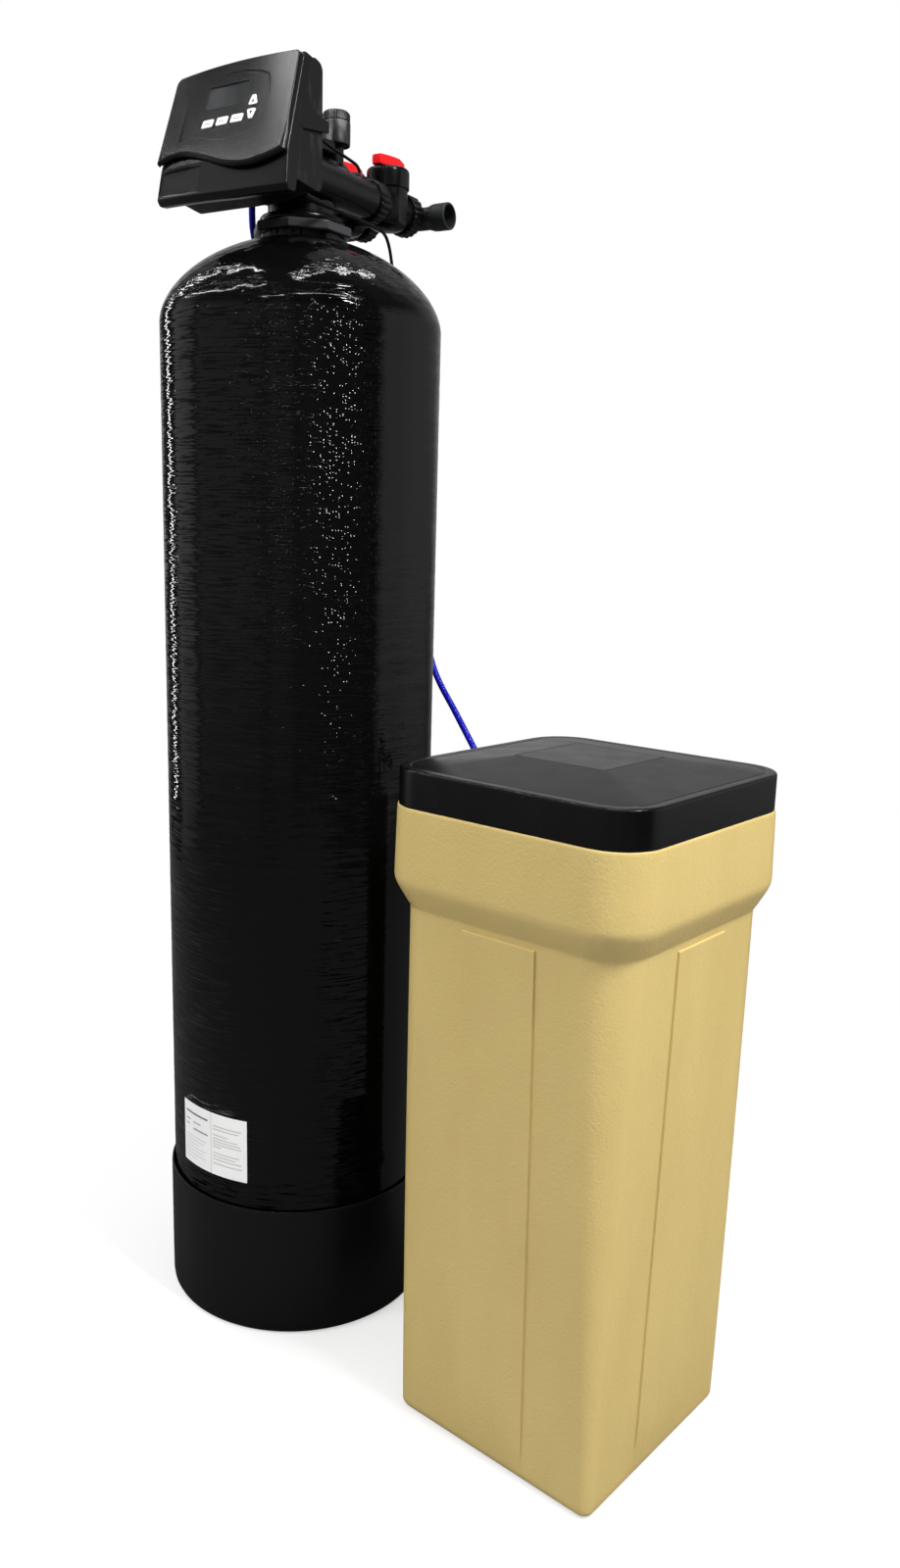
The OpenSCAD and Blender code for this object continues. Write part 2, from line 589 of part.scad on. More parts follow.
// Brine tank and its inside
module side_panel() {
    translate([0, -foot_a, 0]) rotate([lean, 0, 0]) translate([-panel_w / 2, -panel_t, 24])
        cube([panel_w, panel_t + 2, mid_z - 20]);
}
module roof(a, r, b, z, h) {
    hull() {
        translate([0, 0, z]) linear_extrude(0.02) rsq(a, r);
        translate([0, 0, z + h - 0.02]) linear_extrude(0.02) square(2 * b, center = true);
    }
}
module brine_tank() color(tan_c) in_brine() difference() {
    union() {
        loft(foot_a, foot_rr, 0, mid_a, mid_r, mid_z);
        loft(mid_a, mid_r, mid_z - 0.01, band_a, bnd_r, bnd_z);
        translate([0, 0, bnd_z - 0.01]) linear_extrude(brine_h - bnd_z + 0.01) rsq(band_a, bnd_r);
        for (k = [0 : 3]) rotate(90 * k) side_panel();
    }
    loft(foot_a - brine_wall, foot_rr - brine_wall, floor_t,
        mid_a - brine_wall, mid_r - brine_wall, mid_z + 2);
    loft(mid_a - brine_wall, mid_r - brine_wall, mid_z + 1.99,
        band_a - brine_wall, bnd_r - brine_wall, bnd_z + 2);
    translate([0, 0, bnd_z + 1.98]) linear_extrude(200) rsq(band_a - brine_wall, bnd_r - brine_wall);
    translate([0, blk_y, blk_z]) xc(6, -band_a - 10, -band_a + 20);
    translate([60, 0, brine_h - 37]) yc(10, band_a - 20, band_a + 10);
}
module brine_lid() color(black) in_brine() translate([0, 0, brine_h]) difference() {
    union() {
        linear_extrude(lid_h - 4) rsq(lid_a, bnd_r);
        translate([0, 0, lid_h - 4.01]) linear_extrude(2.51) rsq(lid_a - 1.2, bnd_r - 1.2);
        translate([0, 0, lid_h - 1.51]) linear_extrude(1.51) rsq(lid_a - 4, bnd_r - 4);
        translate([0, 0, -7]) linear_extrude(7.1) rsq(band_a - 8, bnd_r - 8);
        roof(lid_a - 13.2, bnd_r - 13.2, hatch_a, lid_h - 0.02, lid_rise + 0.02);
    }
    translate([0, 0, -8]) linear_extrude(8 + lid_h - 4) rsq(band_a - 11, bnd_r - 11);
    roof(lid_a - 14, bnd_r - 14, hatch_a, lid_h - 4.02, lid_rise);
    translate([0, 0, lid_h + lid_rise - 0.6]) linear_extrude(1) difference() {
        square(2 * hatch_a - 2, center = true);
        square(2 * hatch_a - 4.4, center = true);
    }
    translate([0, 0, lid_h - 0.6]) linear_extrude(1) difference() {
        rsq(lid_a - 12, bnd_r - 12);
        rsq(lid_a - 13.2, bnd_r - 13.2);
    }
}
module salt_grid() color(black) in_brine() difference() {
    union() {
        translate([0, 0, grid_z]) linear_extrude(6) rsq(foot_a - brine_wall - 1, 30);
        for (x = [-1, 1]) for (y = [-1, 1]) if (x + 1 > 0 || y < 0)
            translate([x * 85, y * 85, floor_t]) cylinder(r = 14, h = grid_z - floor_t + 1);
    }
    translate([well_c[0], well_c[1], grid_z - 1]) cylinder(r = well_r + 1, h = 20);
    for (x = [-90 : 30 : 90]) for (y = [-90 : 30 : 90])
        if (norm([x, y] - well_c) > well_r + 10) translate([x, y, grid_z - 1]) cylinder(r = 5, h = 20);
}
module brine_well() color(white) in_brine() translate([well_c[0], well_c[1], floor_t]) difference() {
    cylinder(r = well_r, h = well_top - floor_t);
    translate([0, 0, -1]) cylinder(r = well_r - 3, h = well_top);
    for (a = [0, 60, 120]) rotate(a) translate([-80, -2, 10]) cube([160, 4, 60]);
}
module well_cap() color(white) in_brine() translate([well_c[0], well_c[1], well_top]) difference() {
    union() {
        cylinder(r = well_r + 2.5, h = 3);
        translate([0, 0, -8]) cylinder(r = well_r - 3.4, h = 8.1);
    }
    translate([0, 0, -9]) cylinder(r = well_r - 6, h = 9);
    translate([0, 0, -9]) cylinder(r = 6, h = 20);
}
module float_valve() color(white) in_brine() translate([well_c[0], well_c[1], 0]) difference() {
    union() {
        translate([0, 0, floor_t]) cylinder(r = 14, h = 34);
        translate([0, 0, floor_t + 33]) cylinder(r = 5, h = head_zf - floor_t - 32);
        translate([-14, -11, head_zf]) cube([28, 22, 22]);
        translate([10, -5, head_zf + 4]) cube([19, 10, 5]);
    }
    translate([22, 0, head_zf]) cylinder(r = 2.9, h = 20);
    translate([0, 0, floor_t + 6]) cylinder(r = 3, h = head_zf);
}
module float_rod() color(white) in_brine() translate([well_c[0] + 22, well_c[1], 0]) {
    translate([0, 0, 150]) cylinder(r = 2.5, h = head_zf - 136);
    translate([0, 0, 360]) cylinder(r = 15.5, h = 60);
    translate([0, 0, 150]) cylinder(r = 6, h = 5);
}
module brine_link() color(white) in_brine() translate([0, blk_y, blk_z]) {
    xc(4.5, -band_a + 10, well_c[0]);
    translate([well_c[0], 0, 0]) sphere(r = 4.5);
    translate([well_c[0], 0, head_zf + 22 - blk_z]) cylinder(r = 4.5, h = blk_z - head_zf - 22);
}
module brine_bulkhead() color(black) in_brine() translate([0, blk_y, blk_z]) {
    xc(8, -band_a - 10, -band_a);
    xc(5.6, -band_a - 1, -band_a + 10);
    xc(8, -band_a + brine_wall, -band_a + 10);
}
module overflow_elbow() color(black) in_brine() translate([60, 0, brine_h - 37]) difference() {
    union() {
        yc(15, band_a, band_a + 5);
        yc(9.5, band_a - 11, band_a + 22);
        yc(15, band_a - 11, band_a - brine_wall);
        translate([0, band_a + 22, 0]) sphere(r = 9.5);
        translate([0, band_a + 22, -12]) cylinder(r = 9.5, h = 12);
        translate([0, band_a + 22, -34]) cylinder(r = 8, h = 34);
    }
    yc(5.5, band_a - 12, band_a + 22);
    translate([0, band_a + 22, -35]) cylinder(r = 5.5, h = 35);
}
module brine_tube() color(blue) tube(smooth_path(tube_route, 2), tube_d / 2, 10, [0, 1, 0]);

// Power lead and plug-in adapter
module power_lead() color(black) tube(smooth_path(lead_route, 2), lead_d / 2, 8, [1, 0, 0]);

module power_adapter() color(black) {
    translate([-150, 193, 0]) cube([60, 44, 40]);
    for (y = [208, 221]) translate([-168, y, 17]) cube([18.1, 1.6, 6.4]);
}

tank_shell();
tank_boot();
neck_insert();
riser_tube();
bottom_strainer();
gravel_bed();
resin_bed();
top_strainer();
tank_label();
tank_collar();
valve_body();
spacer_stack();
main_piston();
drive_cap();
main_gear();
reduction_gear();
motor();
motor_pinion();
drive_bracket();
front_case();
face_plate();
display_window();
display_module();
circuit_board();
button_left();
button_middle();
button_right();
button_up();
button_down();
injector_cap();
injector();
drain_elbow();
refill_elbow();
meter_turbine();
meter_plug();
meter_cable();
bypass_body_near();
bypass_body_far();
bypass_caps();
rotor_near();
rotor_far();
handle_near();
handle_far();
port_nuts();
outlet_nuts();
elbow_near();
elbow_far();
brine_tank();
brine_lid();
salt_grid();
brine_well();
well_cap();
float_valve();
float_rod();
brine_link();
brine_bulkhead();
overflow_elbow();
brine_tube();
power_lead();
power_adapter();
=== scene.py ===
"""Looks of the water softener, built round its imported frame. Metres, in the frame's own axes."""
import math

import bmesh
import bpy
from mathutils import Matrix, Vector


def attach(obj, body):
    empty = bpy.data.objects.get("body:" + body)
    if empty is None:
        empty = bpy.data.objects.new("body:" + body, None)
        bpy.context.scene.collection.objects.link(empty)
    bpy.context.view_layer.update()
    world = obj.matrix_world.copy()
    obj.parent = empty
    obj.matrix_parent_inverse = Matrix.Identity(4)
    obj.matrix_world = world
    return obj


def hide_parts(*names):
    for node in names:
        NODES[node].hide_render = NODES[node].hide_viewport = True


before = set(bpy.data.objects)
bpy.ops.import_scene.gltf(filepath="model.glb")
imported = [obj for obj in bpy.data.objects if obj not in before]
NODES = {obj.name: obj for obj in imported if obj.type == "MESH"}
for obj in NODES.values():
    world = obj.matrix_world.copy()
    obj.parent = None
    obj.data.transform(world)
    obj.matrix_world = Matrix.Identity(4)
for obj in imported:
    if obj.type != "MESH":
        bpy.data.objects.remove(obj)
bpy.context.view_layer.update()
MM = 0.001
TAU = 2 * math.pi

# Camera, from the fit to the photograph's outlines
CAM_POS = (0.9548681, -1.2258068, 0.9959788)
CAM_RIGHT = (0.8553990, 0.5172700, 0.0269124)
CAM_UP = (-0.1270345, 0.1591366, 0.9790494)
CAM_FWD = (-0.5021501, 0.8408967, -0.2018364)
FOCAL_PX = 1251.34
LONG_SIDE_PX = 1600
SENSOR = 36.0

cam_data = bpy.data.cameras.new("camera")
cam_data.sensor_width = SENSOR
cam_data.lens = FOCAL_PX / LONG_SIDE_PX * SENSOR
cam = bpy.data.objects.new("camera", cam_data)
bpy.context.scene.collection.objects.link(cam)
cam_axes = Matrix((CAM_RIGHT, CAM_UP, [-v for v in CAM_FWD])).transposed().to_4x4()
cam_axes.translation = Vector(CAM_POS)
cam.matrix_world = cam_axes
bpy.context.scene.camera = cam
bpy.context.scene.view_settings.view_transform = "Standard"

# Sizes shared with the part's source, in millimetres
ZS = 1328.0
TANK_R = 166.0
DOME_Z = 1225.0
DOME_H = 104.0
DOME_N = 1.8
NECK_R = 50.0
BY = 130.0
PX = 32.0
PZ = ZS + 58
TILT = math.radians(17.4)
FACE_Y, FACE_Z = -144.0, ZS + 56
BRINE_X, BRINE_Y = 430.5, -62.5
BRINE_YAW = math.radians(-9.7)
BAND_A = 158.0


# Node graphs
class Graph:
    """A material or a world with short calls for its nodes."""

    def __init__(self, owner):
        owner.use_nodes = True
        self.owner = owner
        self.tree = owner.node_tree

    @classmethod
    def material(cls, name):
        return cls(bpy.data.materials.new(name))

    @property
    def bsdf(self):
        return self.tree.nodes["Principled BSDF"]

    def node(self, kind, inputs=(), **props):
        n = self.tree.nodes.new(kind)
        for k, v in props.items():
            setattr(n, k, v)
        for k, v in dict(inputs).items():
            self.put(n.inputs[k], v)
        return n

    def put(self, socket, value):
        if isinstance(value, bpy.types.NodeSocket):
            self.tree.links.new(value, socket)
        elif socket.type == "RGBA" and len(value) == 3:
            socket.default_value = (*value, 1.0)
        else:
            socket.default_value = value

    def shade(self, **inputs):
        for k, v in inputs.items():
            self.put(self.bsdf.inputs[k.replace("_", " ")], v)
        return self.owner

    def coords(self, scale=(1, 1, 1)):
        tc = self.node("ShaderNodeTexCoord")
        if scale == (1, 1, 1):
            return tc.outputs["Object"]
        return self.vec("MULTIPLY", tc.outputs["Object"], scale)

    def vec(self, op, a, b=(0, 0, 0), out="Vector"):
        return self.node("ShaderNodeVectorMath", {0: a, 1: b}, operation=op).outputs[out]

    def scale(self, a, k):
        return self.node("ShaderNodeVectorMath", {0: a, "Scale": k}, operation="SCALE").outputs[0]

    def math(self, op, a, b=0.0, c=0.0):
        return self.node("ShaderNodeMath", {0: a, 1: b, 2: c}, operation=op).outputs[0]

    def mul(self, first, *rest):
        for value in rest:
            first = self.math("MULTIPLY", first, value)
        return first

    def add(self, first, *rest):
        for value in rest:
            first = self.math("ADD", first, value)
        return first

    def sub(self, a, b):
        return self.math("SUBTRACT", a, b)

    def xyz(self, v):
        return self.node("ShaderNodeSeparateXYZ", {0: v}).outputs

    def join(self, x, y, z):
        return self.node("ShaderNodeCombineXYZ", {0: x, 1: y, 2: z}).outputs[0]

    def noise(self, v, scale=1.0, detail=2.0, rough=0.5):
        return self.node("ShaderNodeTexNoise", {"Vector": v, "Scale": scale, "Detail": detail,
                                                "Roughness": rough}).outputs["Fac"]

    def cells(self, v, scale, out="Distance", feature="F1"):
        return self.node("ShaderNodeTexVoronoi", {"Vector": v, "Scale": scale},
                         feature=feature).outputs[out]

    def span(self, v, a0, a1, b0, b1, smooth=False):
        n = self.node("ShaderNodeMapRange", {0: v, 1: a0, 2: a1, 3: b0, 4: b1})
        n.interpolation_type = "SMOOTHSTEP" if smooth else "LINEAR"
        return n.outputs[0]

    def blend(self, fac, a, b):
        n = self.node("ShaderNodeMix", data_type="RGBA")
        self.put(n.inputs[0], fac)
        self.put(n.inputs[6], a)
        self.put(n.inputs[7], b)
        return n.outputs[2]

    def mix(self, fac, a, b):
        return self.node("ShaderNodeMix", {0: fac, 2: a, 3: b}).outputs[0]

    def bump(self, height, distance, strength=1.0, normal=None):
        n = self.node("ShaderNodeBump", {"Height": height, "Distance": distance, "Strength": strength})
        if normal is not None:
            self.put(n.inputs["Normal"], normal)
        return n.outputs[0]

    def soft_edges(self, radius):
        return self.node("ShaderNodeBevel", {"Radius": radius}, samples=6).outputs[0]


def srgb(r, g, b):
    return tuple((v / 255 / 12.92) if v <= 10 else ((v / 255 + 0.055) / 1.055) ** 2.4 for v in (r, g, b))


def plastic(name, rgb, rough, grain=0.6, depth=0.00003, edge=0.0006, mottle=0.12, spec=0.5, streak=None,
            wander=0.2):
    """Moulded plastic: faint colour drift, fine grain, roughness that wanders, softened edges.
    grain is the size of the surface texture in millimetres, depth its height in metres."""
    g = Graph.material(name)
    co = g.coords()
    drift = g.noise(co, 9.0, 3.0)
    fine = g.noise(co, 1.0 / (grain * MM), 2.0)
    dark = tuple(v * (1 - mottle) for v in rgb)
    light = tuple(min(1.0, v * (1 + mottle)) for v in rgb)
    drag = g.noise(g.coords(streak) if streak else co, 30.0, 3.0)
    return g.shade(Base_Color=g.blend(drift, dark, light),
                   Roughness=g.span(drag, 0.3, 0.7, rough * (1 - wander), min(1.0, rough * (1 + wander))),
                   Specular_IOR_Level=spec,
                   Normal=g.bump(fine, depth, 1.0, g.soft_edges(edge)))


def scuffs_and_sheen(name, dark, pale):
    """Dull moulded plastic with upright flow marks, and paler streaks and patches that are rubbed wear and
    painted sheen.
    """
    g = Graph.material(name)
    flow = g.noise(g.coords((90, 90, 14)), 1.0, 4.0, 0.6)
    patch = g.noise(g.coords(), 38.0, 3.0)
    # painted sheen: paler base colour in streaks and patches, standing in for glossy reflections as well as
    # rubs
    rub_and_sheen = g.mul(g.span(flow, 0.47, 0.72, 0.0, 1.0), g.span(patch, 0.42, 0.62, 0.15, 1.0))
    return g.shade(Base_Color=g.blend(rub_and_sheen, dark, pale), Roughness=g.span(flow, 0.3, 0.7, 0.24, 0.5),
                   Normal=g.bump(flow, 0.0002, 1.0, g.soft_edges(0.0012)))


SPECK_WIDE, SPECK_HIGH = 0.0038, 0.0024
DOME_LAY = 0.022


def wound_resin():
    """Glossy black resin over level windings: smooth strands that wander a little, parted by short fine
    grooves whose walls tip up and down, bright specks between them and crossing strands on the dome.
    The surface normal is tipped by a round the tank and by b up it. The grooves also get a darker base
    colour, which is painted shade."""
    g = Graph.material("wound_resin")
    x, y, z = g.xyz(g.coords())
    r = g.math("SQRT", g.add(g.mul(x, x), g.mul(y, y)))
    theta = g.math("ARCTAN2", y, x)
    along = g.mul(theta, TANK_R * MM)
    up = g.sub(z, r)

    def field(k_along, k_up, detail, shift=0.0):
        v = g.join(g.mul(along, k_along), g.math("MULTIPLY_ADD", up, k_up, shift), 0.0)
        return g.noise(v, 1.0, detail, 0.55)

    smooth_side = g.mul(g.span(theta, -0.60, -0.30, 0.0, 0.85, True), g.span(theta, 1.0, 1.5, 1.0, 0.0, True))
    rugged = g.sub(1.0, smooth_side)
    on_dome = g.span(z, 1.232, 1.262, 0.0, 1.0, True)
    groove = g.span(field(22.0, 520.0, 2.0), 0.52, 0.62, 0.0, 1.0, True)
    # the groove mask tips the normal and also darkens the base colour there, which is painted shade
    shaded_groove = g.mul(groove, g.sub(rugged, g.mul(on_dome, 0.75)))

    grid = g.join(g.mul(along, 1 / SPECK_WIDE), g.mul(up, 1 / SPECK_HIGH), 0.0)
    cell = g.node("ShaderNodeTexVoronoi", {"Vector": grid, "Scale": 1.0, "Randomness": 0.9},
                  voronoi_dimensions="2D").outputs
    sector = g.mul(g.span(theta, -1.5, -1.2, 0.05, 1.0, True), g.span(theta, 0.4, 1.2, 1.0, 0.2))
    share = g.mul(sector, g.mul(g.span(z, 0.62, 1.0, 0.0, 0.24), g.span(z, 1.225, 1.245, 1.0, 0.0)))
    speck = g.mul(g.math("GREATER_THAN", share, g.xyz(cell["Color"])[0]), rugged)
    off_a, off_b, _ = g.xyz(g.vec("SUBTRACT", grid, cell["Position"]))

    strand = g.sub(field(13.0, 420.0, 1.0, 7.0), 0.5)
    sway = g.sub(field(7.0, 60.0, 2.0, 3.0), 0.5)
    teeth = g.sub(field(380.0, 120.0, 2.0, 11.0), 0.5)
    turn, climb = g.mul(theta, 31.0), g.mul(up, 210.0)
    right_lay, left_lay = g.math("SINE", g.add(turn, climb)), g.math("SINE", g.sub(turn, climb))
    lay = g.mul(on_dome, DOME_LAY)

    a = g.add(g.mul(strand, rugged, 0.26), g.mul(off_a, speck, 0.32), g.mul(sway, 0.05),
              g.mul(g.add(right_lay, left_lay), lay))
    b = g.add(g.mul(speck, g.math("MULTIPLY_ADD", off_b, 0.40, 0.29)), g.mul(shaded_groove, -0.5),
              g.mul(teeth, on_dome, 0.16), g.mul(sway, 0.08), g.mul(g.sub(right_lay, left_lay), lay))
    normal = g.node("ShaderNodeNewGeometry").outputs["Normal"]
    round_way = g.vec("NORMALIZE", g.vec("CROSS_PRODUCT", (0, 0, 1), normal))
    up_way = g.vec("CROSS_PRODUCT", normal, round_way)
    tip = g.vec("ADD", g.scale(round_way, a), g.scale(up_way, b))
    # painted shade: the base colour is darker inside the grooves
    tone_with_groove_shade = g.blend(shaded_groove, (0.0019, 0.0019, 0.0020), (0.0003, 0.0003, 0.0003))
    return g.shade(Base_Color=tone_with_groove_shade, Roughness=g.span(sway, -0.2, 0.2, 0.05, 0.09), Specular_IOR_Level=0.42,
                   Normal=g.vec("NORMALIZE", g.vec("ADD", normal, tip)))


def tan_poly():
    """Rotomoulded tan polyethylene with an orange-peel skin."""
    g = Graph.material("tan_poly")
    co = g.coords()
    drift = g.noise(co, 4.0, 3.0)
    cloud = g.noise(g.coords((10, 10, 3)), 1.0, 3.0)
    tone = g.blend(drift, srgb(207, 183, 117), srgb(214, 190, 124))
    tone = g.blend(g.span(cloud, 0.35, 0.65, 0.0, 0.6), tone, srgb(199, 174, 108))
    stir = g.node("ShaderNodeTexNoise", {"Vector": co, "Scale": 160.0}).outputs["Color"]
    warp = g.vec("ADD", co, g.scale(stir, 0.003))
    pits = g.cells(warp, 290.0, "Distance", "SMOOTH_F1")
    peel = g.add(g.noise(warp, 380.0, 3.0, 0.6), g.mul(pits, -0.5))
    return g.shade(Base_Color=tone, Roughness=g.span(cloud, 0.3, 0.7, 0.36, 0.48),
                   Specular_IOR_Level=0.45, Subsurface_Weight=0.06, Subsurface_Scale=0.004,
                   Subsurface_Radius=(1.0, 0.7, 0.3), Normal=g.bump(peel, 0.00042, 1.0))


def label_paper():
    """White label: a divider, a heading bar and plain ruled lines, no words."""
    g = Graph.material("label_paper")
    u, v, _ = g.xyz(g.node("ShaderNodeTexCoord").outputs["UV"])
    soft = 0.004

    def between(s, lo, hi):
        return g.mul(g.span(s, lo - soft, lo + soft, 0.0, 1.0), g.span(s, hi - soft, hi + soft, 1.0, 0.0))

    ink = g.mul(between(u, 0.508, 0.516), 0.45)

    def bar(u0, u1, v0, v1, dark):
        nonlocal ink
        ink = g.math("MAXIMUM", ink, g.mul(between(u, u0, u1), between(v, v0, v1), dark))

    bar(0.05, 0.46, 0.825, 0.855, 0.9)
    for u0, u1, v0, dark in ((0.05, 0.14, 0.70, 0.55), (0.20, 0.34, 0.69, 0.55), (0.05, 0.12, 0.62, 0.55),
                             (0.20, 0.46, 0.58, 0.8)):
        bar(u0, u1, v0, v0 + 0.025, dark)
    for k, end in enumerate((0.44, 0.40, 0.30, 0.43, 0.38, 0.42, 0.26)):
        bar(0.05, end, 0.45 - 0.058 * k, 0.462 - 0.058 * k, 0.4)
    for end, mid in ((0.93, 0.80), (0.90, 0.75), (0.76, 0.655), (0.88, 0.60), (0.92, 0.555), (0.93, 0.51),
                     (0.66, 0.465), (0.90, 0.36), (0.86, 0.31), (0.93, 0.26), (0.94, 0.19)):
        bar(0.545, end, mid - 0.008, mid + 0.008, 0.5)
    fibre = g.noise(g.coords(), 900.0, 2.0)
    paper = g.blend(fibre, srgb(245, 245, 245), srgb(252, 252, 251))
    return g.shade(Base_Color=g.blend(ink, paper, srgb(70, 70, 74)),
                   Roughness=g.span(fibre, 0.3, 0.7, 0.38, 0.5), Normal=g.bump(fibre, 0.00002))


def beads(name, dark, light, size):
    g = Graph.material(name)
    co = g.coords()
    d = g.cells(co, 1.0 / size)
    tone = g.cells(co, 1.0 / size, "Color")
    return g.shade(Base_Color=g.blend(g.xyz(tone)[0], dark, light), Roughness=0.35,
                   Normal=g.bump(g.mul(d, -1.0), size * 0.6))


def metal(name, rgb, rough):
    g = Graph.material(name)
    brushed = g.noise(g.coords((60, 900, 60)), 1.0, 2.0)
    return g.shade(Base_Color=rgb, Metallic=1.0,
                   Roughness=g.span(brushed, 0.3, 0.7, rough * 0.7, rough * 1.3),
                   Normal=g.bump(brushed, 0.00002, 1.0, g.soft_edges(0.0004)))


def circuit():
    g = Graph.material("circuit")
    co = g.coords()
    run = g.cells(co, 160.0, "Distance", "DISTANCE_TO_EDGE")
    trace = g.span(run, 0.05, 0.08, 1.0, 0.0)
    return g.shade(Base_Color=g.blend(trace, srgb(10, 62, 34), srgb(34, 104, 60)), Roughness=0.4,
                   Normal=g.bump(run, 0.00005, 0.6))


def display_glass():
    """The dark window over the display: a smooth lens with a faint smoky drift under it."""
    g = Graph.material("display_glass")
    drift = g.noise(g.coords((30, 30, 18)), 1.0, 2.0)
    return g.shade(Base_Color=g.blend(drift, srgb(38, 40, 41), srgb(60, 61, 62)),
                   Roughness=g.span(drift, 0.3, 0.7, 0.12, 0.2),
                   Specular_IOR_Level=0.4, Normal=g.soft_edges(0.0004))


MAT = {
    "resin": wound_resin(),
    "boot": plastic("boot_plastic", srgb(7, 7, 8), 0.36, 1.4, 0.00004, mottle=0.2, streak=(1, 1, 0.15)),
    "head": plastic("head_plastic", srgb(8, 8, 9), 0.22, 0.45, 0.000004, 0.0008, wander=0.07),
    "valve": plastic("valve_plastic", srgb(6, 6, 7), 0.24, 0.8, 0.00002, 0.0008, mottle=0.25),
    # the bracket's pale streaks are partly painted sheen
    "bracket": scuffs_and_sheen("bracket_plastic", srgb(6, 6, 7), srgb(52, 51, 49)),
    # painted highlight: the injector tower's near-white streaks stand in for its bright sheen
    "tower": scuffs_and_sheen("tower_plastic", srgb(30, 30, 31), srgb(156, 156, 153)),
    "collar": plastic("collar_plastic", srgb(54, 55, 57), 0.3, 0.7, 0.00003, 0.0008),
    "pipe": plastic("pipe_plastic", srgb(34, 36, 37), 0.48, 0.7, 0.00003, 0.0006),
    "lid": plastic("lid_plastic", srgb(7, 7, 8), 0.24, 0.9, 0.00004, 0.0006),
    "tan": tan_poly(),
    "red": plastic("red_plastic", srgb(214, 8, 20), 0.26, 0.9, 0.00002, 0.0008, 0.05),
    "blue": plastic("blue_tube", srgb(16, 18, 158), 0.28, 1.2, 0.00002, 0.0002, 0.08),
    "cord": plastic("cord_rubber", srgb(8, 8, 9), 0.56, 0.6, 0.00002, 0.0002, spec=0.3),
    "key": plastic("key_white", srgb(240, 240, 238), 0.38, 0.5, 0.00001, 0.0004, 0.02),
    "ink": plastic("key_ink", srgb(58, 60, 62), 0.5, 0.5, 0.00001, 0.0001),
    "white": plastic("white_nylon", srgb(226, 224, 216), 0.42, 0.9, 0.00003, 0.0006, 0.04),
    "lens": display_glass(),
    "display": plastic("display_block", srgb(84, 92, 82), 0.4),
    "board": circuit(),
    "label": label_paper(),
    "steel": metal("motor_steel", (0.52, 0.52, 0.53), 0.32),
    "brass": metal("pinion_brass", (0.72, 0.55, 0.26), 0.3),
    "amber": beads("resin_beads", srgb(120, 66, 18), srgb(206, 136, 54), 0.0012),
    "gravel": beads("gravel_stones", srgb(108, 98, 84), srgb(176, 166, 148), 0.006),
}

NODE_MAT = {
    "resin": "tank_shell", "boot": "tank_boot", "head": "front_case face_plate", "bracket": "drive_bracket",
    "valve": "valve_body injector_cap drain_elbow refill_elbow bypass_body_near bypass_body_far bypass_caps "
             "port_nuts outlet_nuts brine_bulkhead overflow_elbow salt_grid",
    "collar": "tank_collar neck_insert spacer_stack drive_cap meter_plug main_piston",
    "pipe": "elbow_near elbow_far", "lid": "brine_lid", "tan": "brine_tank", "red": "handle_near handle_far",
    "blue": "brine_tube", "cord": "power_lead meter_cable power_adapter",
    "key": "button_left button_middle button_right button_up button_down",
    "white": "riser_tube bottom_strainer top_strainer main_gear reduction_gear injector meter_turbine "
             "rotor_near rotor_far brine_well well_cap float_valve float_rod brine_link",
    "lens": "display_window", "display": "display_module", "board": "circuit_board", "label": "tank_label",
    "steel": "motor", "brass": "motor_pinion", "amber": "resin_bed", "gravel": "gravel_bed",
}
for key, names in NODE_MAT.items():
    for n in names.split():
        NODES[n].data.materials.clear()
        NODES[n].data.materials.append(MAT[key])


# Building pieces
SLOTS = {"resin": "wound_resin", "label": "label", "tan": "tan_plastic", "lid": "lid_plastic", "lens": "lens",
         "key": "white_plastic", "red": "red_plastic", "cord": "cord",
         **dict.fromkeys(("head", "ink", "valve", "tower"), "black_plastic"),
         **dict.fromkeys(("boot", "bracket", "collar", "pipe"), "grey_plastic")}


def piece(name, verts, faces, mat, body="frame", slot=None, stands_for=(), sharp=38):
    """A mesh from millimetre points, smooth below the sharp angle, riding on a body.
    The slot argument is not used."""
    mesh = bpy.data.meshes.new(name)
    mesh.from_pydata([Vector(v) * MM for v in verts], [], faces)
    bm = bmesh.new()
    bm.from_mesh(mesh)
    bmesh.ops.remove_doubles(bm, verts=bm.verts, dist=1e-7)
    bmesh.ops.recalc_face_normals(bm, faces=bm.faces)
    bm.to_mesh(mesh)
    bm.free()
    mesh.polygons.foreach_set("use_smooth", [True] * len(mesh.polygons))
    mesh.set_sharp_from_angle(angle=math.radians(sharp))
    mesh.materials.append(MAT[mat])
    obj = bpy.data.objects.new(name, mesh)
    bpy.context.scene.collection.objects.link(obj)
    even = obj.modifiers.new("even_normals", "WEIGHTED_NORMAL")
    even.keep_sharp = True
    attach(obj, body)
    slot or SLOTS[mat]
    if stands_for:
        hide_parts(*stands_for)
    return obj


def lerp(a, b, t):
    return a + (b - a) * t


def loft(loops, cap0=True, cap1=True):
    """Points and faces of a skin over closed loops of equal count."""
    n = len(loops[0])
    verts = [p for loop in loops for p in loop]
    faces = [(k * n + i, k * n + (i + 1) % n, (k + 1) * n + (i + 1) % n, (k + 1) * n + i)
             for k in range(len(loops) - 1) for i in range(n)]
    if cap0:
        faces.append(tuple(range(n - 1, -1, -1)))
    if cap1:
        faces.append(tuple(range((len(loops) - 1) * n, len(loops) * n)))
    return verts, faces


def merge(*parts):
    verts, faces = [], []
    for v, f in parts:
        k = len(verts)
        verts += list(v)
        faces += [tuple(i + k for i in q) for q in f]
    return verts, faces


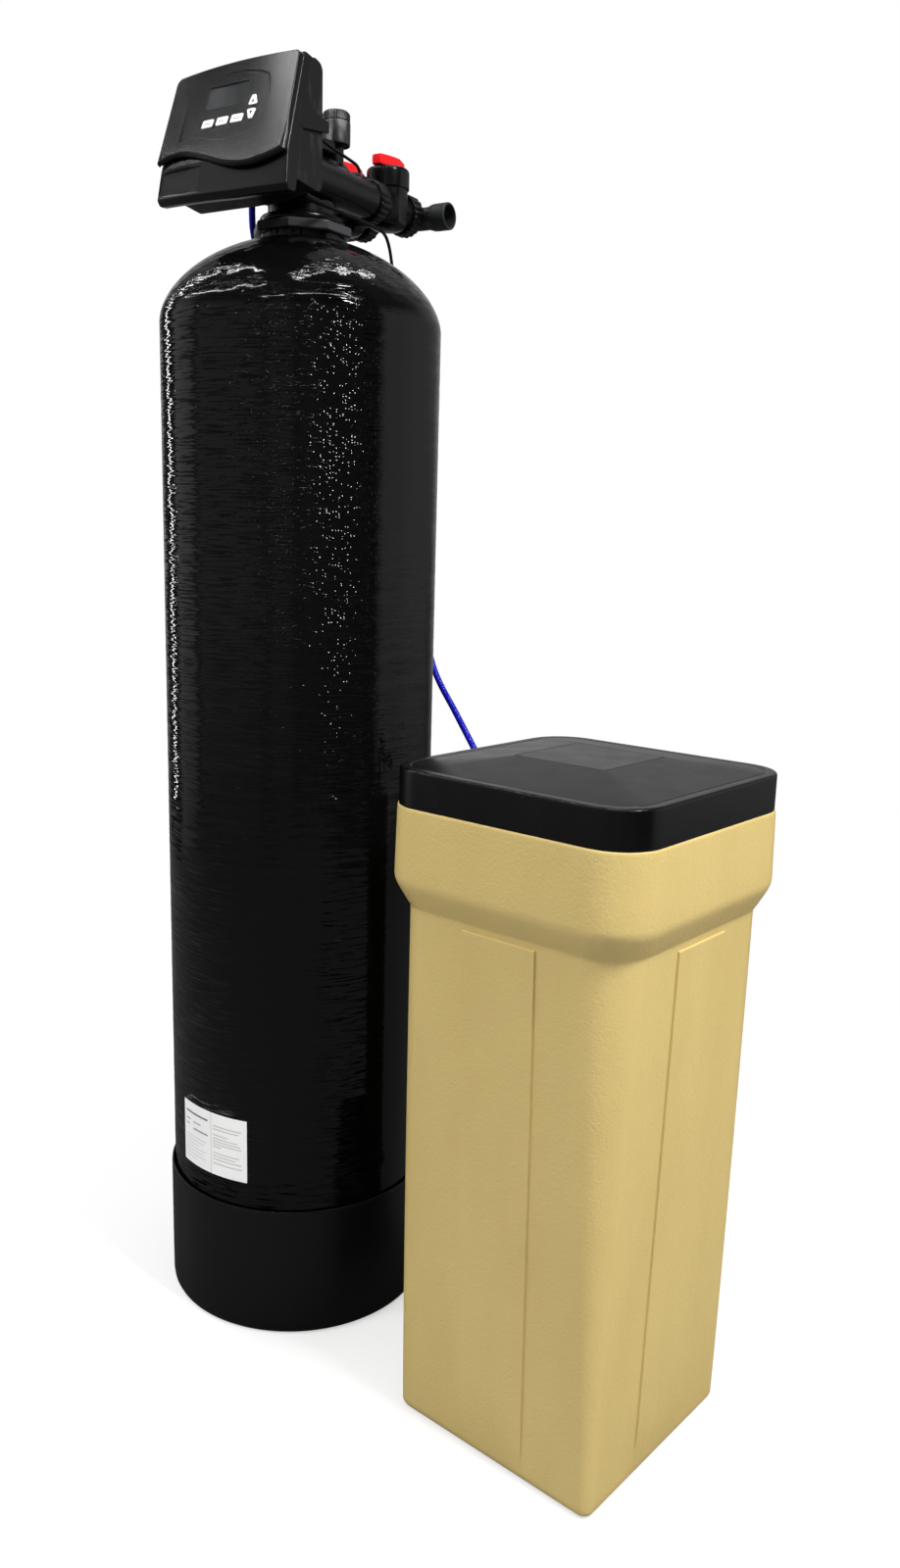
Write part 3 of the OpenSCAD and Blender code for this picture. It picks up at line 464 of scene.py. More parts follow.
def inset(poly, d, share=None):
    """A closed polygon, counter-clockwise, moved inward by d, or by a share of d at each point."""
    out, n = [], len(poly)
    for i in range(n):
        p, q, r = (Vector(poly[(i + k) % n]) for k in (-1, 0, 1))
        a, b = (q - p).normalized(), (r - q).normalized()
        na, nb = Vector((-a.y, a.x)), Vector((-b.y, b.x))
        out.append(q + (na + nb) * (d * (share[i] if share else 1) / max(0.35, 1 + na.dot(nb))))
    return out


def arc(c, r, a0, a1, k):
    turns = [math.radians(lerp(a0, a1, i / k)) for i in range(k + 1)]
    return [(c[0] + r * math.cos(t), c[1] + r * math.sin(t)) for t in turns]


def rounded(poly, r, k=5):
    """A polygon with every corner turned into an arc."""
    out, n = [], len(poly)
    for i in range(n):
        p, q, s = (Vector(poly[(i + j) % n]) for j in (-1, 0, 1))
        a, b = (p - q), (s - q)
        la, lb = a.length, b.length
        a, b = a / la, b / lb
        half = math.acos(max(-1, min(1, a.dot(b)))) / 2
        cut = min(r / math.tan(half), 0.45 * la, 0.45 * lb)
        rad = cut * math.tan(half)
        c = q + (a + b).normalized() * (rad / math.sin(half))
        s0, s1 = q + a * cut - c, q + b * cut - c
        a0 = math.atan2(s0.y, s0.x)
        d = (math.atan2(s1.y, s1.x) - a0 + math.pi) % TAU - math.pi
        turns = [a0 + d * j / k for j in range(k + 1)]
        out += [(c.x + rad * math.cos(t), c.y + rad * math.sin(t)) for t in turns]
    return out


def edge_steps(r, k=4):
    """(inset, drop) pairs that round an edge of radius r, from the side to the top."""
    turns = [math.pi / 2 * i / k for i in range(k + 1)]
    return [(r * (1 - math.cos(t)), r * (1 - math.sin(t))) for t in turns]


def slab(poly, put, w0, w1, r0=0.0, r1=0.0, stations=0):
    """A flat body: a polygon carried by put(u, v, w) from w0 to w1, with rounded rims."""
    steps = [(d, w0 + s) for d, s in reversed(edge_steps(r0))] if r0 else [(0, w0)]
    steps += [(0, w0 + r0 + (w1 - r1 - w0 - r0) * (i + 1) / (stations + 1)) for i in range(stations)]
    steps += [(d, w1 - s) for d, s in edge_steps(r1)] if r1 else [(0, w1)]
    return loft([[put(p[0], p[1], w) for p in (inset(poly, d) if d else poly)] for d, w in steps])


def lathe(profile, put=lambda x, y, z: (x, y, z), n=96, closed=False):
    """A turned body from (radius, height) pairs."""
    turns = [TAU * i / n for i in range(n)]
    loops = [[put(r * math.cos(t), r * math.sin(t), z) for t in turns] for r, z in profile]
    if closed:
        loops.append(loops[0])
    return loft(loops, not closed, not closed)


def along_y(x, z0):
    """A lathe's place: its axis runs along y through (x, z0)."""
    return lambda u, v, y: (x + u, y, z0 + v)


def upright(x, y):
    """A lathe's place: its axis stands at (x, y)."""
    return lambda u, v, z: (x + u, y + v, z)


def on_face(x, s, n):
    c, k = math.cos(TILT), math.sin(TILT)
    return (x, FACE_Y + s * k - n * c, FACE_Z + s * c + n * k)


def in_brine(x, y, z):
    c, s = math.cos(BRINE_YAW), math.sin(BRINE_YAW)
    return (BRINE_X + x * c - y * s, BRINE_Y + x * s + y * c, z)


# Cords, along the routes of the part's source
def between_points(a, b, c, d, k):
    """k points from b toward c on the smooth curve through a, b, c and d."""
    steps = [j / k for j in range(k)]
    return [0.5 * (2 * b + (c - a) * t + (2 * a - 5 * b + 4 * c - d) * t * t
                   + (3 * b - a - 3 * c + d) * t ** 3) for t in steps]


def smooth_path(p, k):
    """An open curve through points, in k steps from each to the next."""
    out, n = [], len(p) - 1
    for i in range(n):
        out += between_points(*(Vector(p[j]) for j in (max(0, i - 1), i, i + 1, min(n, i + 2))), k)
    return out + [Vector(p[n])]


def closed_curve(ctrl, k):
    """A closed curve through points, in k steps from each to the next."""
    out, n = [], len(ctrl)
    for i in range(n):
        out += between_points(*(Vector(ctrl[(i + j) % n]) for j in (-1, 0, 1, 2)), k)
    return out


def cord(name, route, diameter, mat, slot, node, far_end, **facts):
    data = bpy.data.curves.new(name, "CURVE")
    data.dimensions = "3D"
    data.bevel_depth = diameter / 2 * MM
    data.bevel_resolution = 5
    data.use_fill_caps = True
    data.resolution_u = 10
    points = [Vector(q) for q in route]
    spline = data.splines.new("BEZIER")
    spline.bezier_points.add(len(points) - 1)
    for q, p in zip(spline.bezier_points, points):
        q.co = p * MM
        q.handle_left_type = q.handle_right_type = "AUTO"
    data.materials.append(MAT[mat])
    obj = bpy.data.objects.new(name, data)
    bpy.context.scene.collection.objects.link(obj)
    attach(obj, "frame")
    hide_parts(node)
    fine = smooth_path(route, 8)
    length = sum((b - a).length for a, b in zip(fine, fine[1:])) * MM
    return obj


def round_back(deg, z, r=175.0):
    return (r * math.cos(math.radians(deg)), r * math.sin(math.radians(deg)), z)


def bend(before, corner, after, r, k):
    """Points of an arc of radius r that rounds the corner between two straight runs."""
    c = Vector(corner)
    a, b = (Vector(before) - c).normalized(), (Vector(after) - c).normalized()
    half = a.angle(b) / 2
    hub = c + (a + b).normalized() * (r / math.sin(half))
    start, end = c + a * (r / math.tan(half)) - hub, c + b * (r / math.tan(half)) - hub
    return [tuple(hub + start.slerp(end, i / k).normalized() * r) for i in range(k + 1)]


HOSE_BEND = 36.0
LEAD_BEND, LEAD_FOOT_BEND = 18.0, 17.0
tube_mid = round_back(44, 812)
tube_end = in_brine(-BAND_A - 10.6, 70, 700)
tube_turn = in_brine(-BAND_A - 27, 70, 700)
tube_mix = [tuple(Vector(tube_mid).lerp(Vector(tube_turn), k)) for k in (0.35, 0.7)]
tube_top, tube_knee, tube_back = (-76, 0, ZS + 44.8), (-76, 0, ZS + 12), (-103.5, 59, ZS - 19)
TUBE_ROUTE = [tube_top, *bend(tube_top, tube_knee, tube_back, HOSE_BEND, 4), tube_back,
              (-117, 108, ZS - 58), round_back(133, ZS - 98), round_back(125, 1150), round_back(104, 1010),
              round_back(80, 920), round_back(59, 850), tube_mid, *tube_mix,
              *bend(tube_mid, tube_turn, tube_end, HOSE_BEND, 3), tube_end]
lead_over, lead_knee, lead_drop = (44, BY - 30, ZS + 25), (32, BY + 1, ZS + 24), (37, BY + 18, ZS - 36)
lead_low, lead_foot, lead_plug = (-66, 205, 80), (-70, 213, 20), (-90, 215, 20)
LEAD_ROUTE = [(62, -78, ZS + 24), (62, -60, ZS + 23), (60, 0, ZS + 22), (57, 50, ZS + 22), lead_over,
              *bend(lead_over, lead_knee, lead_drop, LEAD_BEND, 4), lead_drop,
              (54, 168, ZS - 78), (64, 176, ZS - 150), (56, 184, 900), (20, 190, 600), (-30, 195, 300),
              lead_low, *bend(lead_low, lead_foot, lead_plug, LEAD_FOOT_BEND, 4), lead_plug]
CABLE_ROUTE = smooth_path([(60, -78, ZS + 92), (60, -66, ZS + 92), (54, -42, ZS + 93), (46, -4, ZS + 92),
                           (41, 30, ZS + 91), (PX + 5, 55, ZS + 90), (PX + 1, 67, ZS + 87),
                           (PX, 69, ZS + 83.2)], 2)
hose = cord("brine_hose", TUBE_ROUTE, 8.0, "blue", "blue_tube", "brine_tube", "object", stiffness="stiff")
cord("supply_lead", LEAD_ROUTE, 4.0, "cord", "cord", "power_lead", "plug", stiffness="medium", lay="hanging",
     with_pieces=[NODES["power_adapter"]])
cord("sensor_cable", CABLE_ROUTE, 3.6, "cord", "cord", "meter_cable", "object", stiffness="medium")


def follow(route, radii, n=20):
    """Points and faces of a tube of changing radius along a route."""
    loops = []
    for i, (p, r) in enumerate(zip(route, radii)):
        d = (Vector(route[min(i + 1, len(route) - 1)]) - Vector(route[max(i - 1, 0)])).normalized()
        u = d.orthogonal().normalized()
        v = d.cross(u)
        turns = [TAU * k / n for k in range(n)]
        loops.append([Vector(p) + (u * math.cos(t) + v * math.sin(t)) * r for t in turns])
    return loft(loops)


RELIEF_RINGS = 26
relief = smooth_path(LEAD_ROUTE, 16)[:RELIEF_RINGS]
relief_r = [5.0 - 2.4 * i / (RELIEF_RINGS - 1) - (0.45 if i % 3 == 2 and i > 3 else 0.0)
            for i in range(RELIEF_RINGS)]
piece("lead_relief", *follow(relief, relief_r), "cord", sharp=70)


# Pressure tank
def ripple(k):
    """A steady pseudo-random number from 0 to 1 for ring k."""
    v = math.sin(k * 12.9898) * 43758.5453
    return v - math.floor(v)


TANK_FOOT_Z, TANK_FOOT_FLAT, TANK_FOOT_H = 14.0, 80.0, 90.0
RING_FIRST, RING_STEP = 110.0, 4.0
WALL_RIPPLE, DOME_RIPPLE = 0.22, 0.2
DOME_STEPS = 40
NECK_BORE, NECK_TOP = 30.0, ZS - 0.1


def tank_profile():
    """The pressure tank from the middle of its foot to its neck, slightly uneven from ring to ring."""
    pts = [(2.0, TANK_FOOT_Z)]
    for i in range(9):
        t = math.radians(90 * i / 8)
        pts.append((TANK_FOOT_FLAT + (TANK_R - TANK_FOOT_FLAT) * math.sin(t),
                    TANK_FOOT_Z + TANK_FOOT_H * (1 - math.cos(t))))
    z, k = RING_FIRST, 0
    while z < DOME_Z - RING_STEP / 2:
        pts.append((TANK_R - WALL_RIPPLE * ripple(k), z))
        z += RING_STEP
        k += 1
    u_end = (1 - (NECK_R / TANK_R) ** DOME_N) ** (1 / DOME_N)
    for i in range(DOME_STEPS + 1):
        u = u_end * math.sin(math.pi / 2 * i / DOME_STEPS)
        r = TANK_R * (1 - u ** DOME_N) ** (1 / DOME_N)
        pts.append((r - DOME_RIPPLE * ripple(k + i), DOME_Z + DOME_H * u))
    return pts + [(NECK_R, NECK_TOP), (NECK_BORE, NECK_TOP)]


piece("tank_skin", *lathe(tank_profile(), n=160), "resin", stands_for=["tank_shell"], sharp=60)

boot = [(40, 0.0), (163.0, 0.0), (166.0, 0.7), (168.3, 2.6), (169.8, 5.6), (170.3, 10.0), (170.5, 40.0),
        (170.5, 150.0), (170.5, 163.0), (170.3, 166.2), (169.7, 167.6), (169.0, 168.0), (168.3, 167.7),
        (167.6, 166.6), (167.5, 164.0), (167.5, 100.0), (100, 20.0), (40, 14.0)]
piece("boot_skin", *lathe(boot, n=144), "boot", stands_for=["tank_boot"], sharp=50)


LABEL_A = math.radians(-113), math.radians(-75)
LABEL_Z = 201.0, 283.0
LABEL_R = TANK_R + 0.1, TANK_R + 0.42


def label_sheet(nu=24, nv=4):
    """A thin curved sheet, with nu by nv faces on each side and a rim between them."""
    verts, faces = [], []
    for r in reversed(LABEL_R):
        for j in range(nv + 1):
            for i in range(nu + 1):
                a = lerp(*LABEL_A, i / nu)
                verts.append((r * math.cos(a), r * math.sin(a), lerp(*LABEL_Z, j / nv)))
    w = nu + 1
    side = w * (nv + 1)
    for j in range(nv):
        for i in range(nu):
            q = (j * w + i, j * w + i + 1, (j + 1) * w + i + 1, (j + 1) * w + i)
            faces += [q, tuple(k + side for k in reversed(q))]
    rim = [*range(w), *(j * w + nu for j in range(1, nv + 1)), *(nv * w + i for i in range(nu - 1, -1, -1)),
           *(j * w for j in range(nv - 1, 0, -1))]
    faces += [(a, a + side, b + side, b) for a, b in zip(rim, rim[1:] + rim[:1])]
    return verts, faces


def share(value, ends):
    return (value - ends[0]) / (ends[1] - ends[0])


label = piece("label_sheet", *label_sheet(), "label", stands_for=["tank_label"])
layer = label.data.uv_layers.new(name="UVMap")
for loop in label.data.loops:
    co = label.data.vertices[loop.vertex_index].co
    layer.data[loop.index].uv = (share(math.atan2(co.y, co.x), LABEL_A), share(co.z / MM, LABEL_Z))


# Brine tank
PANEL_HALF = 46.0
PANEL_LIFT = 2.4
PANEL_STEPS = ((-0.6, 0.0), (0.2, 1.0))
WALL_H = 608.0
WALL_HALF = 132, 145
WALL_CORNER = 12, 48


def square_loop(a, r, z, lift=0.0, k=10):
    """A rounded square with a raised panel on each side, seen from above, counter-clockwise."""
    steps = [(-PANEL_HALF + x, f) for x, f in PANEL_STEPS] + [(0.0, 1.0)]
    steps += [(PANEL_HALF - x, f) for x, f in reversed(PANEL_STEPS)]
    row = [(x, -(a + lift * f)) for x, f in steps]
    row += [(a - r + x, -(a - r) + y) for x, y in arc((0, 0), r, -90, 0, k)]
    out = []
    for c, s in ((1, 0), (0, 1), (-1, 0), (0, -1)):
        out += [in_brine(x * c - y * s, x * s + y * c, z) for x, y in row]
    return out


def wall(z):
    """Half width and corner radius of the brine tank's wall at a height."""
    t = z / WALL_H
    return lerp(*WALL_HALF, t), lerp(*WALL_CORNER, t ** 1.25)


FOOT_ROUND = ((9.0, 0.0), (5.6, 0.7), (2.6, 2.6), (0.7, 5.7))
brine = [square_loop(WALL_HALF[0] - d, WALL_CORNER[0] - 0.4 * d, z) for d, z in FOOT_ROUND]
for z, lift in ((9, 0.0), (14, 0.12), (26, 0.4), (42, 0.8), (60, 1.0), (100, 1), (160, 1), (240, 1), (320, 1),
                (400, 1), (480, 1), (560, 1), (600.2, 1), (601.2, 0), (604, 0)):
    brine.append(square_loop(*wall(z), z, PANEL_LIFT * lift))
SHOULDER_BAND_RIM = (
    (145.1, 48.1, 607.4), (146.0, 48.2, 609.4), (148.0, 48.5, 613.2), (152.2, 49, 622.4),
    (155.4, 49.6, 629.6), (156.7, 49.8, 633.2), (157.7, 49.9, 637.0), (158.2, 50, 642.0), (157.9, 50, 660),
    (157.2, 50, 700), (156.9, 50, 713.6), (156.7, 49.8, 715.4), (156.3, 49.2, 716.6), (155.6, 48.2, 717.1),
    (154.8, 47.2, 716.8), (154.1, 46.4, 715.8), (154, 46, 714))
INNER_WALL = ((154, 46, 640), (141.2, 44.2, 610), (128.4, 9.4, 12.0), (120, 8, 5.2), (60, 6, 5.0))
brine += [square_loop(*ring) for ring in SHOULDER_BAND_RIM + INNER_WALL]
tank = piece("brine_shell", *loft(brine), "tan", stands_for=["brine_tank"], sharp=46)

LID_INSIDE = ((55, 4, 765), (57, 4, 765), (141.8, 36, 753.0), (147, 39, 750), (147, 39, 710.4))
LID_SKIRT = ((147.6, 39.6, 710), (149.4, 41.4, 710), (150, 42, 710.6), (150, 42, 717.2), (155.0, 49.2, 717.2),
             (155.6, 49.8, 717.8), (155.8, 50, 718.6), (155.8, 50, 735), (155.8, 50, 753.8))
LID_TOP = (
    (155.6, 49.8, 755.0), (155.0, 49.2, 756.0), (154.0, 48.2, 756.7), (152.8, 47, 757.0), (149.6, 44, 757.0),
    (144.6, 38.8, 757.0), (144.2, 38.4, 756.8), (143.9, 38.1, 756.0), (143.2, 37.4, 756.0),
    (142.9, 37.1, 756.8), (142.4, 36.6, 757.05), (100, 21, 763.0), (58.2, 4.6, 768.8), (57, 4.0, 769.0),
    (56.7, 3.8, 768.4), (56.0, 3.4, 768.4), (55.7, 3.2, 769.0), (54, 3, 769.0))
lid = [square_loop(*ring) for ring in LID_INSIDE + LID_SKIRT + LID_TOP]
cover_lid = piece("lid_shell", *loft(lid), "lid", body="lid", stands_for=["brine_lid"], sharp=40)
for obj in (tank, cover_lid, hose):
    obj.visible_glossy = False


# Control head: its cover sits a touch askew on the valve, as the photograph shows
HEAD_PIVOT, HEAD_SHIFT = Vector((0, -110, 1400)), Vector((-2, 0, 0))
HEAD_TURN = (Matrix.Translation(HEAD_PIVOT + HEAD_SHIFT) @ Matrix.Rotation(math.radians(-2.4), 4, "Z")
             @ Matrix.Translation(-HEAD_PIVOT))
PLATE_T = 6.0
PLATE_L, PLATE_R = -90.0, 87.3
COVER_FOOT, COVER_H, COVER_HALF = ZS + 12, 142.0, 90.0
FLARE, FLARE_SHIFT = 0.09, 1.5
BOW = 6.0
RISE, RISE_H, RISE_FROM, RISE_RUN = 4.6, 34.0, 20.0, 110.0


def cover(x, y, z):
    """A point of the cover: its front is bowed outward across its width, it widens toward its foot, and
    the foot rises toward the left."""
    above = z - COVER_FOOT
    t = 1 - max(0.0, min(1.1, above / COVER_H))
    z += RISE * max(0.0, (RISE_FROM - x) / RISE_RUN) * max(0.0, min(1.0, 1 - above / RISE_H))
    y += BOW * ((x / COVER_HALF) ** 2 - 0.4)
    return tuple(HEAD_TURN @ Vector((x * (1 + FLARE * t) - FLARE_SHIFT * t, y, z)))


def on_cover(x, s, n):
    return cover(*on_face(x, s, n))


def side_on(y, z, x):
    return cover(x, y, z)


WAVE_MID, WAVE_HIGH, WAVE_CREST, WAVE_LENGTH = -4.0, 12.2, -60.0, 200.0


def wave(x):
    """The wavy lower edge of the face plate."""
    return WAVE_MID + WAVE_HIGH * math.cos(math.radians(360 * (x - WAVE_CREST) / WAVE_LENGTH))


FOOT_POINTS = 61


def plate_outline():
    """The face plate: wavy foot, right side, arched top, left side."""
    foot = [lerp(PLATE_L, PLATE_R, i / (FOOT_POINTS - 1)) for i in range(FOOT_POINTS)]
    pts = [(x, wave(x)) for x in foot]
    pts += [(PLATE_R, s) for s in (20, 40, 60, 80)]
    pts += arc((PLATE_R - 6, 98.4), 6, 0, 84, 6)
    top = [lerp(80, -77, i / 24) for i in range(25)]
    pts += [(x, 103.2 + x / 80 + 1.2 * (1 - (x / 80) ** 2)) for x in top]
    pts += arc((PLATE_L + 9, 93.2), 9, 95, 180, 8)
    return pts + [(PLATE_L, s) for s in (80, 60, 40, 20, 4)]


SHIELD = [(-60, 24.5), (-48, 23.5), (-36, 24), (-24.3, 22.4), (-13, 18.6), (-2, 16.6), (8, 16), (18, 16.3),
          (32, 18.5), (44.3, 21.6), (52, 26), (56, 32), (57, 43), (56.8, 55), (56.2, 68), (54.8, 77.5),
          (51, 82.5), (45.4, 85), (34, 88.3), (21.7, 90.3), (8, 91.2), (-8.8, 90.6), (-23, 88.7),
          (-36.4, 86.3), (-50, 83.2), (-57, 80.2), (-60.5, 73), (-61, 55), (-60.8, 38)]
LCD = (-0.6, 67.2, 28.4, 11.9)
WIDE_KEYS = {"left": (-21.2, 37.8), "middle": (-0.6, 37.8), "right": (19.6, 37.8)}
ARROW_X = 37.8


def box_loop(cx, cy, hx, hy, skew=0.0):
    low, high = cx - skew, cx + skew
    return [(low - hx, cy - hy), (low + hx, cy - hy), (high + hx, cy + hy), (high - hx, cy + hy)]


def arrow_loop(cy, way):
    wide, narrow = cy - 5.5 * way, cy + 5.5 * way
    p = [(ARROW_X - 6, wide), (ARROW_X + 6, wide), (ARROW_X + 2.2, narrow), (ARROW_X - 2.2, narrow)]
    return p if way > 0 else p[::-1]


KEY_LOOPS = {k: rounded(box_loop(*c, 7.7, 4.4, 0.8), 1.4, 4) for k, c in WIDE_KEYS.items()}
KEY_LOOPS["up"] = rounded(arrow_loop(55.6, 1), 1.6, 4)
KEY_LOOPS["down"] = rounded(arrow_loop(40.0, -1), 1.6, 4)


class Sheet:
    """A mesh made of loops in a plane's coordinates: bridged pairs and flat areas with holes."""

    def __init__(self, put):
        self.put, self.verts, self.faces = put, [], []

    def loop(self, poly, n):
        start = len(self.verts)
        self.verts += [self.put(p[0], p[1], n) for p in poly]
        return list(range(start, len(self.verts)))

    def bridge(self, loops):
        for a, b in zip(loops, loops[1:]):
            self.faces += [(a[i], a[(i + 1) % len(a)], b[(i + 1) % len(a)], b[i]) for i in range(len(a))]

    def fill(self, loops):
        bm = bmesh.new()
        ids, edges = [], []
        for loop in loops:
            vs = [bm.verts.new(self.verts[i]) for i in loop]
            ids += loop
            edges += [bm.edges.new((vs[i], vs[(i + 1) % len(vs)])) for i in range(len(vs))]
        bm.verts.index_update()
        bmesh.ops.triangle_fill(bm, use_beauty=True, edges=edges)
        self.faces += [tuple(ids[v.index] for v in f.verts) for f in bm.faces]
        bm.free()


def sliced(verts, faces, step):
    """The same mesh cut across at every step of x, so that it can be bowed."""
    bm = bmesh.new()
    points = [bm.verts.new(v) for v in verts]
    for f in faces:
        bm.faces.new([points[i] for i in f])
    at = min(v[0] for v in verts) + step
    while at < max(v[0] for v in verts) - step / 2:
        geom = [*bm.verts, *bm.edges, *bm.faces]
        bmesh.ops.bisect_plane(bm, geom=geom, dist=0.02, plane_co=(at, 0, 0), plane_no=(1, 0, 0))
        at += step
    bm.verts.index_update()
    out = [v.co.copy() for v in bm.verts], [tuple(v.index for v in f.verts) for f in bm.faces]
    bm.free()
    return out


def face_plate():
    s = Sheet(lambda x, v, n: (x, v, n))
    out = plate_outline()
    width = [1.0 if i < FOOT_POINTS else 0.3 for i in range(len(out))]
    rim = [s.loop(inset(out, d, width) if d else out, n) for d, n in (
        (1.4, -PLATE_T), (0.25, -5.4), (0, -4.6), (0.3, -2.7), (1.0, -1.4), (2.2, -0.5), (3.6, -0.1),
        (5.0, 0.0))]
    s.bridge(rim)
    shield = closed_curve(SHIELD, 4)
    step = [s.loop(inset(shield, d), n) for d, n in (
        (-1.0, 0.0), (-0.5, -0.08), (0, -0.4), (0.4, -0.85), (0.9, -1.0))]
    s.bridge(step)
    s.fill([rim[-1], step[0]])
    backs, fronts = [], []
    holes = [rounded(box_loop(LCD[0], LCD[1], LCD[2] + 0.3, LCD[3] + 0.3), 1.2, 3)]
    holes += [inset(p, -0.35) for p in KEY_LOOPS.values()]
    for p in holes:
        ring = [s.loop(inset(p, d), n) for d, n in ((-0.35, -1.0), (-0.1, -1.08), (0, -1.35), (0, -PLATE_T))]
        s.bridge(ring)
        fronts.append(ring[0])
        backs.append(ring[-1])
    s.fill([step[-1], *fronts])
    s.fill([rim[0], *backs])
    verts, faces = sliced(s.verts, s.faces, 5.0)
    return [on_cover(*v) for v in verts], faces


piece("cover_plate", *face_plate(), "head", stands_for=["face_plate"], sharp=32)
spear = [(-63.0, 24.0), (-59.6, 23.2), (-58.6, 25.6), (-60.6, 27.2), (-61.0, 45), (-61.7, 66), (-62.3, 66),
         (-62.6, 45)]
piece("cover_crease", *slab(rounded(spear, 0.5, 3), on_cover, -1.2, 0.8, 0, 0.5), "head")
piece("lcd_glass", *slab(rounded(box_loop(*LCD), 1.0, 3), on_cover, -3.0, -1.7, 0, 0.3), "lens",
      stands_for=["display_window"])
for name, loop in KEY_LOOPS.items():
    piece("keytop_" + name, *slab(loop, on_cover, -3.6, -0.45, 0, 0.45), "key", body="key_" + name,
          stands_for=["button_" + name])
for name, (cx, cy) in WIDE_KEYS.items():
    marks = [slab(rounded(box_loop(cx + dx, cy - 0.2, w, 0.55), 0.3, 2), on_cover, -0.6, -0.38)
             for dx, w in ((-2.9, 1.2), (0, 1.1), (2.9, 1.2))]
    piece("keymark_" + name, *merge(*marks), "ink", body="key_" + name)
for name, cy, way in (("up", 54.8, 1), ("down", 40.8, -1)):
    tri = [(ARROW_X - 2.0, cy - 2.2 * way), (ARROW_X + 2.0, cy - 2.2 * way), (ARROW_X, cy + 2.2 * way)]
    tri = rounded(tri if way > 0 else tri[::-1], 0.4, 2)
    piece("keymark_" + name, *slab(tri, on_cover, -0.6, -0.38), "ink", body="key_" + name)


def carve(obj, cutter):
    """Cut one piece out of another for good."""
    cut = obj.modifiers.new("cut", "BOOLEAN")
    cut.object, cut.operation, cut.solver = cutter, "DIFFERENCE", "EXACT"
    old = obj.data
    obj.data = bpy.data.meshes.new_from_object(obj.evaluated_get(bpy.context.evaluated_depsgraph_get()))
    obj.modifiers.remove(cut)
    bpy.data.meshes.remove(old)
    bpy.data.objects.remove(cutter)


CASE_BACK, CASE_REACH = PLATE_T + 0.9, 102.0
PLATE_FOOT = (FACE_Y + CASE_BACK * math.cos(TILT), FACE_Z - CASE_BACK * math.sin(TILT))
PLATE_HEAD = (PLATE_FOOT[0] + CASE_REACH * math.sin(TILT), PLATE_FOOT[1] + CASE_REACH * math.cos(TILT))
CHIN_FOOT = (PLATE_FOOT[0] - 5.0, ZS + 18)
WALL = 3.0
CASE_SHARP = 30
case_side = rounded([(-138, ZS + 11.5), (-126.5, ZS + 12), (-94, ZS + 146), (-88.5, ZS + 152.5),
                     (PLATE_HEAD[0] + 3, ZS + 156), PLATE_HEAD, PLATE_FOOT, CHIN_FOOT], 4.0, 4)
shell = piece("cover_case", *slab(case_side, side_on, -89.5, 87.0, 3.5, 2.0, 15), "head",
              stands_for=["front_case"], sharp=CASE_SHARP)


def on_chin(x, v, n):
    """The leaning panel under the face plate: v up from its foot, n outward."""
    foot, top = Vector(CHIN_FOOT), Vector(PLATE_FOOT)
    up = (top - foot).normalized()
    p = foot + up * v + Vector((-up.y, up.x)) * n
    return cover(x, p.x, p.y)


badge = rounded([(-86, 5.0), (-27, 4.0), (-25.5, 31.5), (-86, 31.5)], 1.6, 4)
carve(shell, piece("badge_cut", *slab(badge, on_chin, -0.9, 3.0), "head"))
carve(shell, piece("case_cut", *slab(inset(case_side, WALL), side_on, -86.3, 84.0, 0, 0, 15), "head"))
WINDOW = [(-112, ZS + 34), (-112, ZS + 36), (-80.5, ZS + 142), (-118, ZS + 142), (-134, ZS + 70),
          (-134, ZS + 34)]


def window_cut():
    """A cutter for the opening between the case and the bracket, where the board and the gears sit."""
    return piece("window_cut", *slab(WINDOW, lambda y, z, x: (x, y, z), -60, 60), "head")


carve(shell, window_cut())
shell.data.set_sharp_from_angle(angle=math.radians(CASE_SHARP))
piece("badge_face", *slab(inset(badge, 0.5), on_chin, -1.6, -0.55, 0, 0.25), "boot", slot="black_plastic")

arm = [(-116, 78), (-80, 83), (-68, 84.5), (-68, 95.5), (-78, 97), (-86, 98.5), (-93, 102), (-98, 107),
       (-101, 113), (-104, 121), (-116, 121)]
arm = rounded([(y, z + ZS) for y, z in arm], 2.0, 4)
for name, x0, x1 in (("right", 84.4, 87.35), ("left", -89.85, -86.9)):
    piece("cover_arm_" + name, *slab(arm, side_on, x0, x1, 0.8, 0.8), "head")


FRAME_RISE, FRAME_RISE_H, FRAME_RISE_FROM, FRAME_RISE_RUN = 9.5, 70.0, 30.0, 55.0
FRAME_FOOT = ZS + 16


def in_frame(y, z, x):
    """A point of the bracket, whose foot rises toward the right."""
    low = max(0.0, min(1.0, 1 - (z - FRAME_FOOT) / FRAME_RISE_H))
    return (x, y, z + FRAME_RISE * max(0.0, (x - FRAME_RISE_FROM) / FRAME_RISE_RUN) * low)


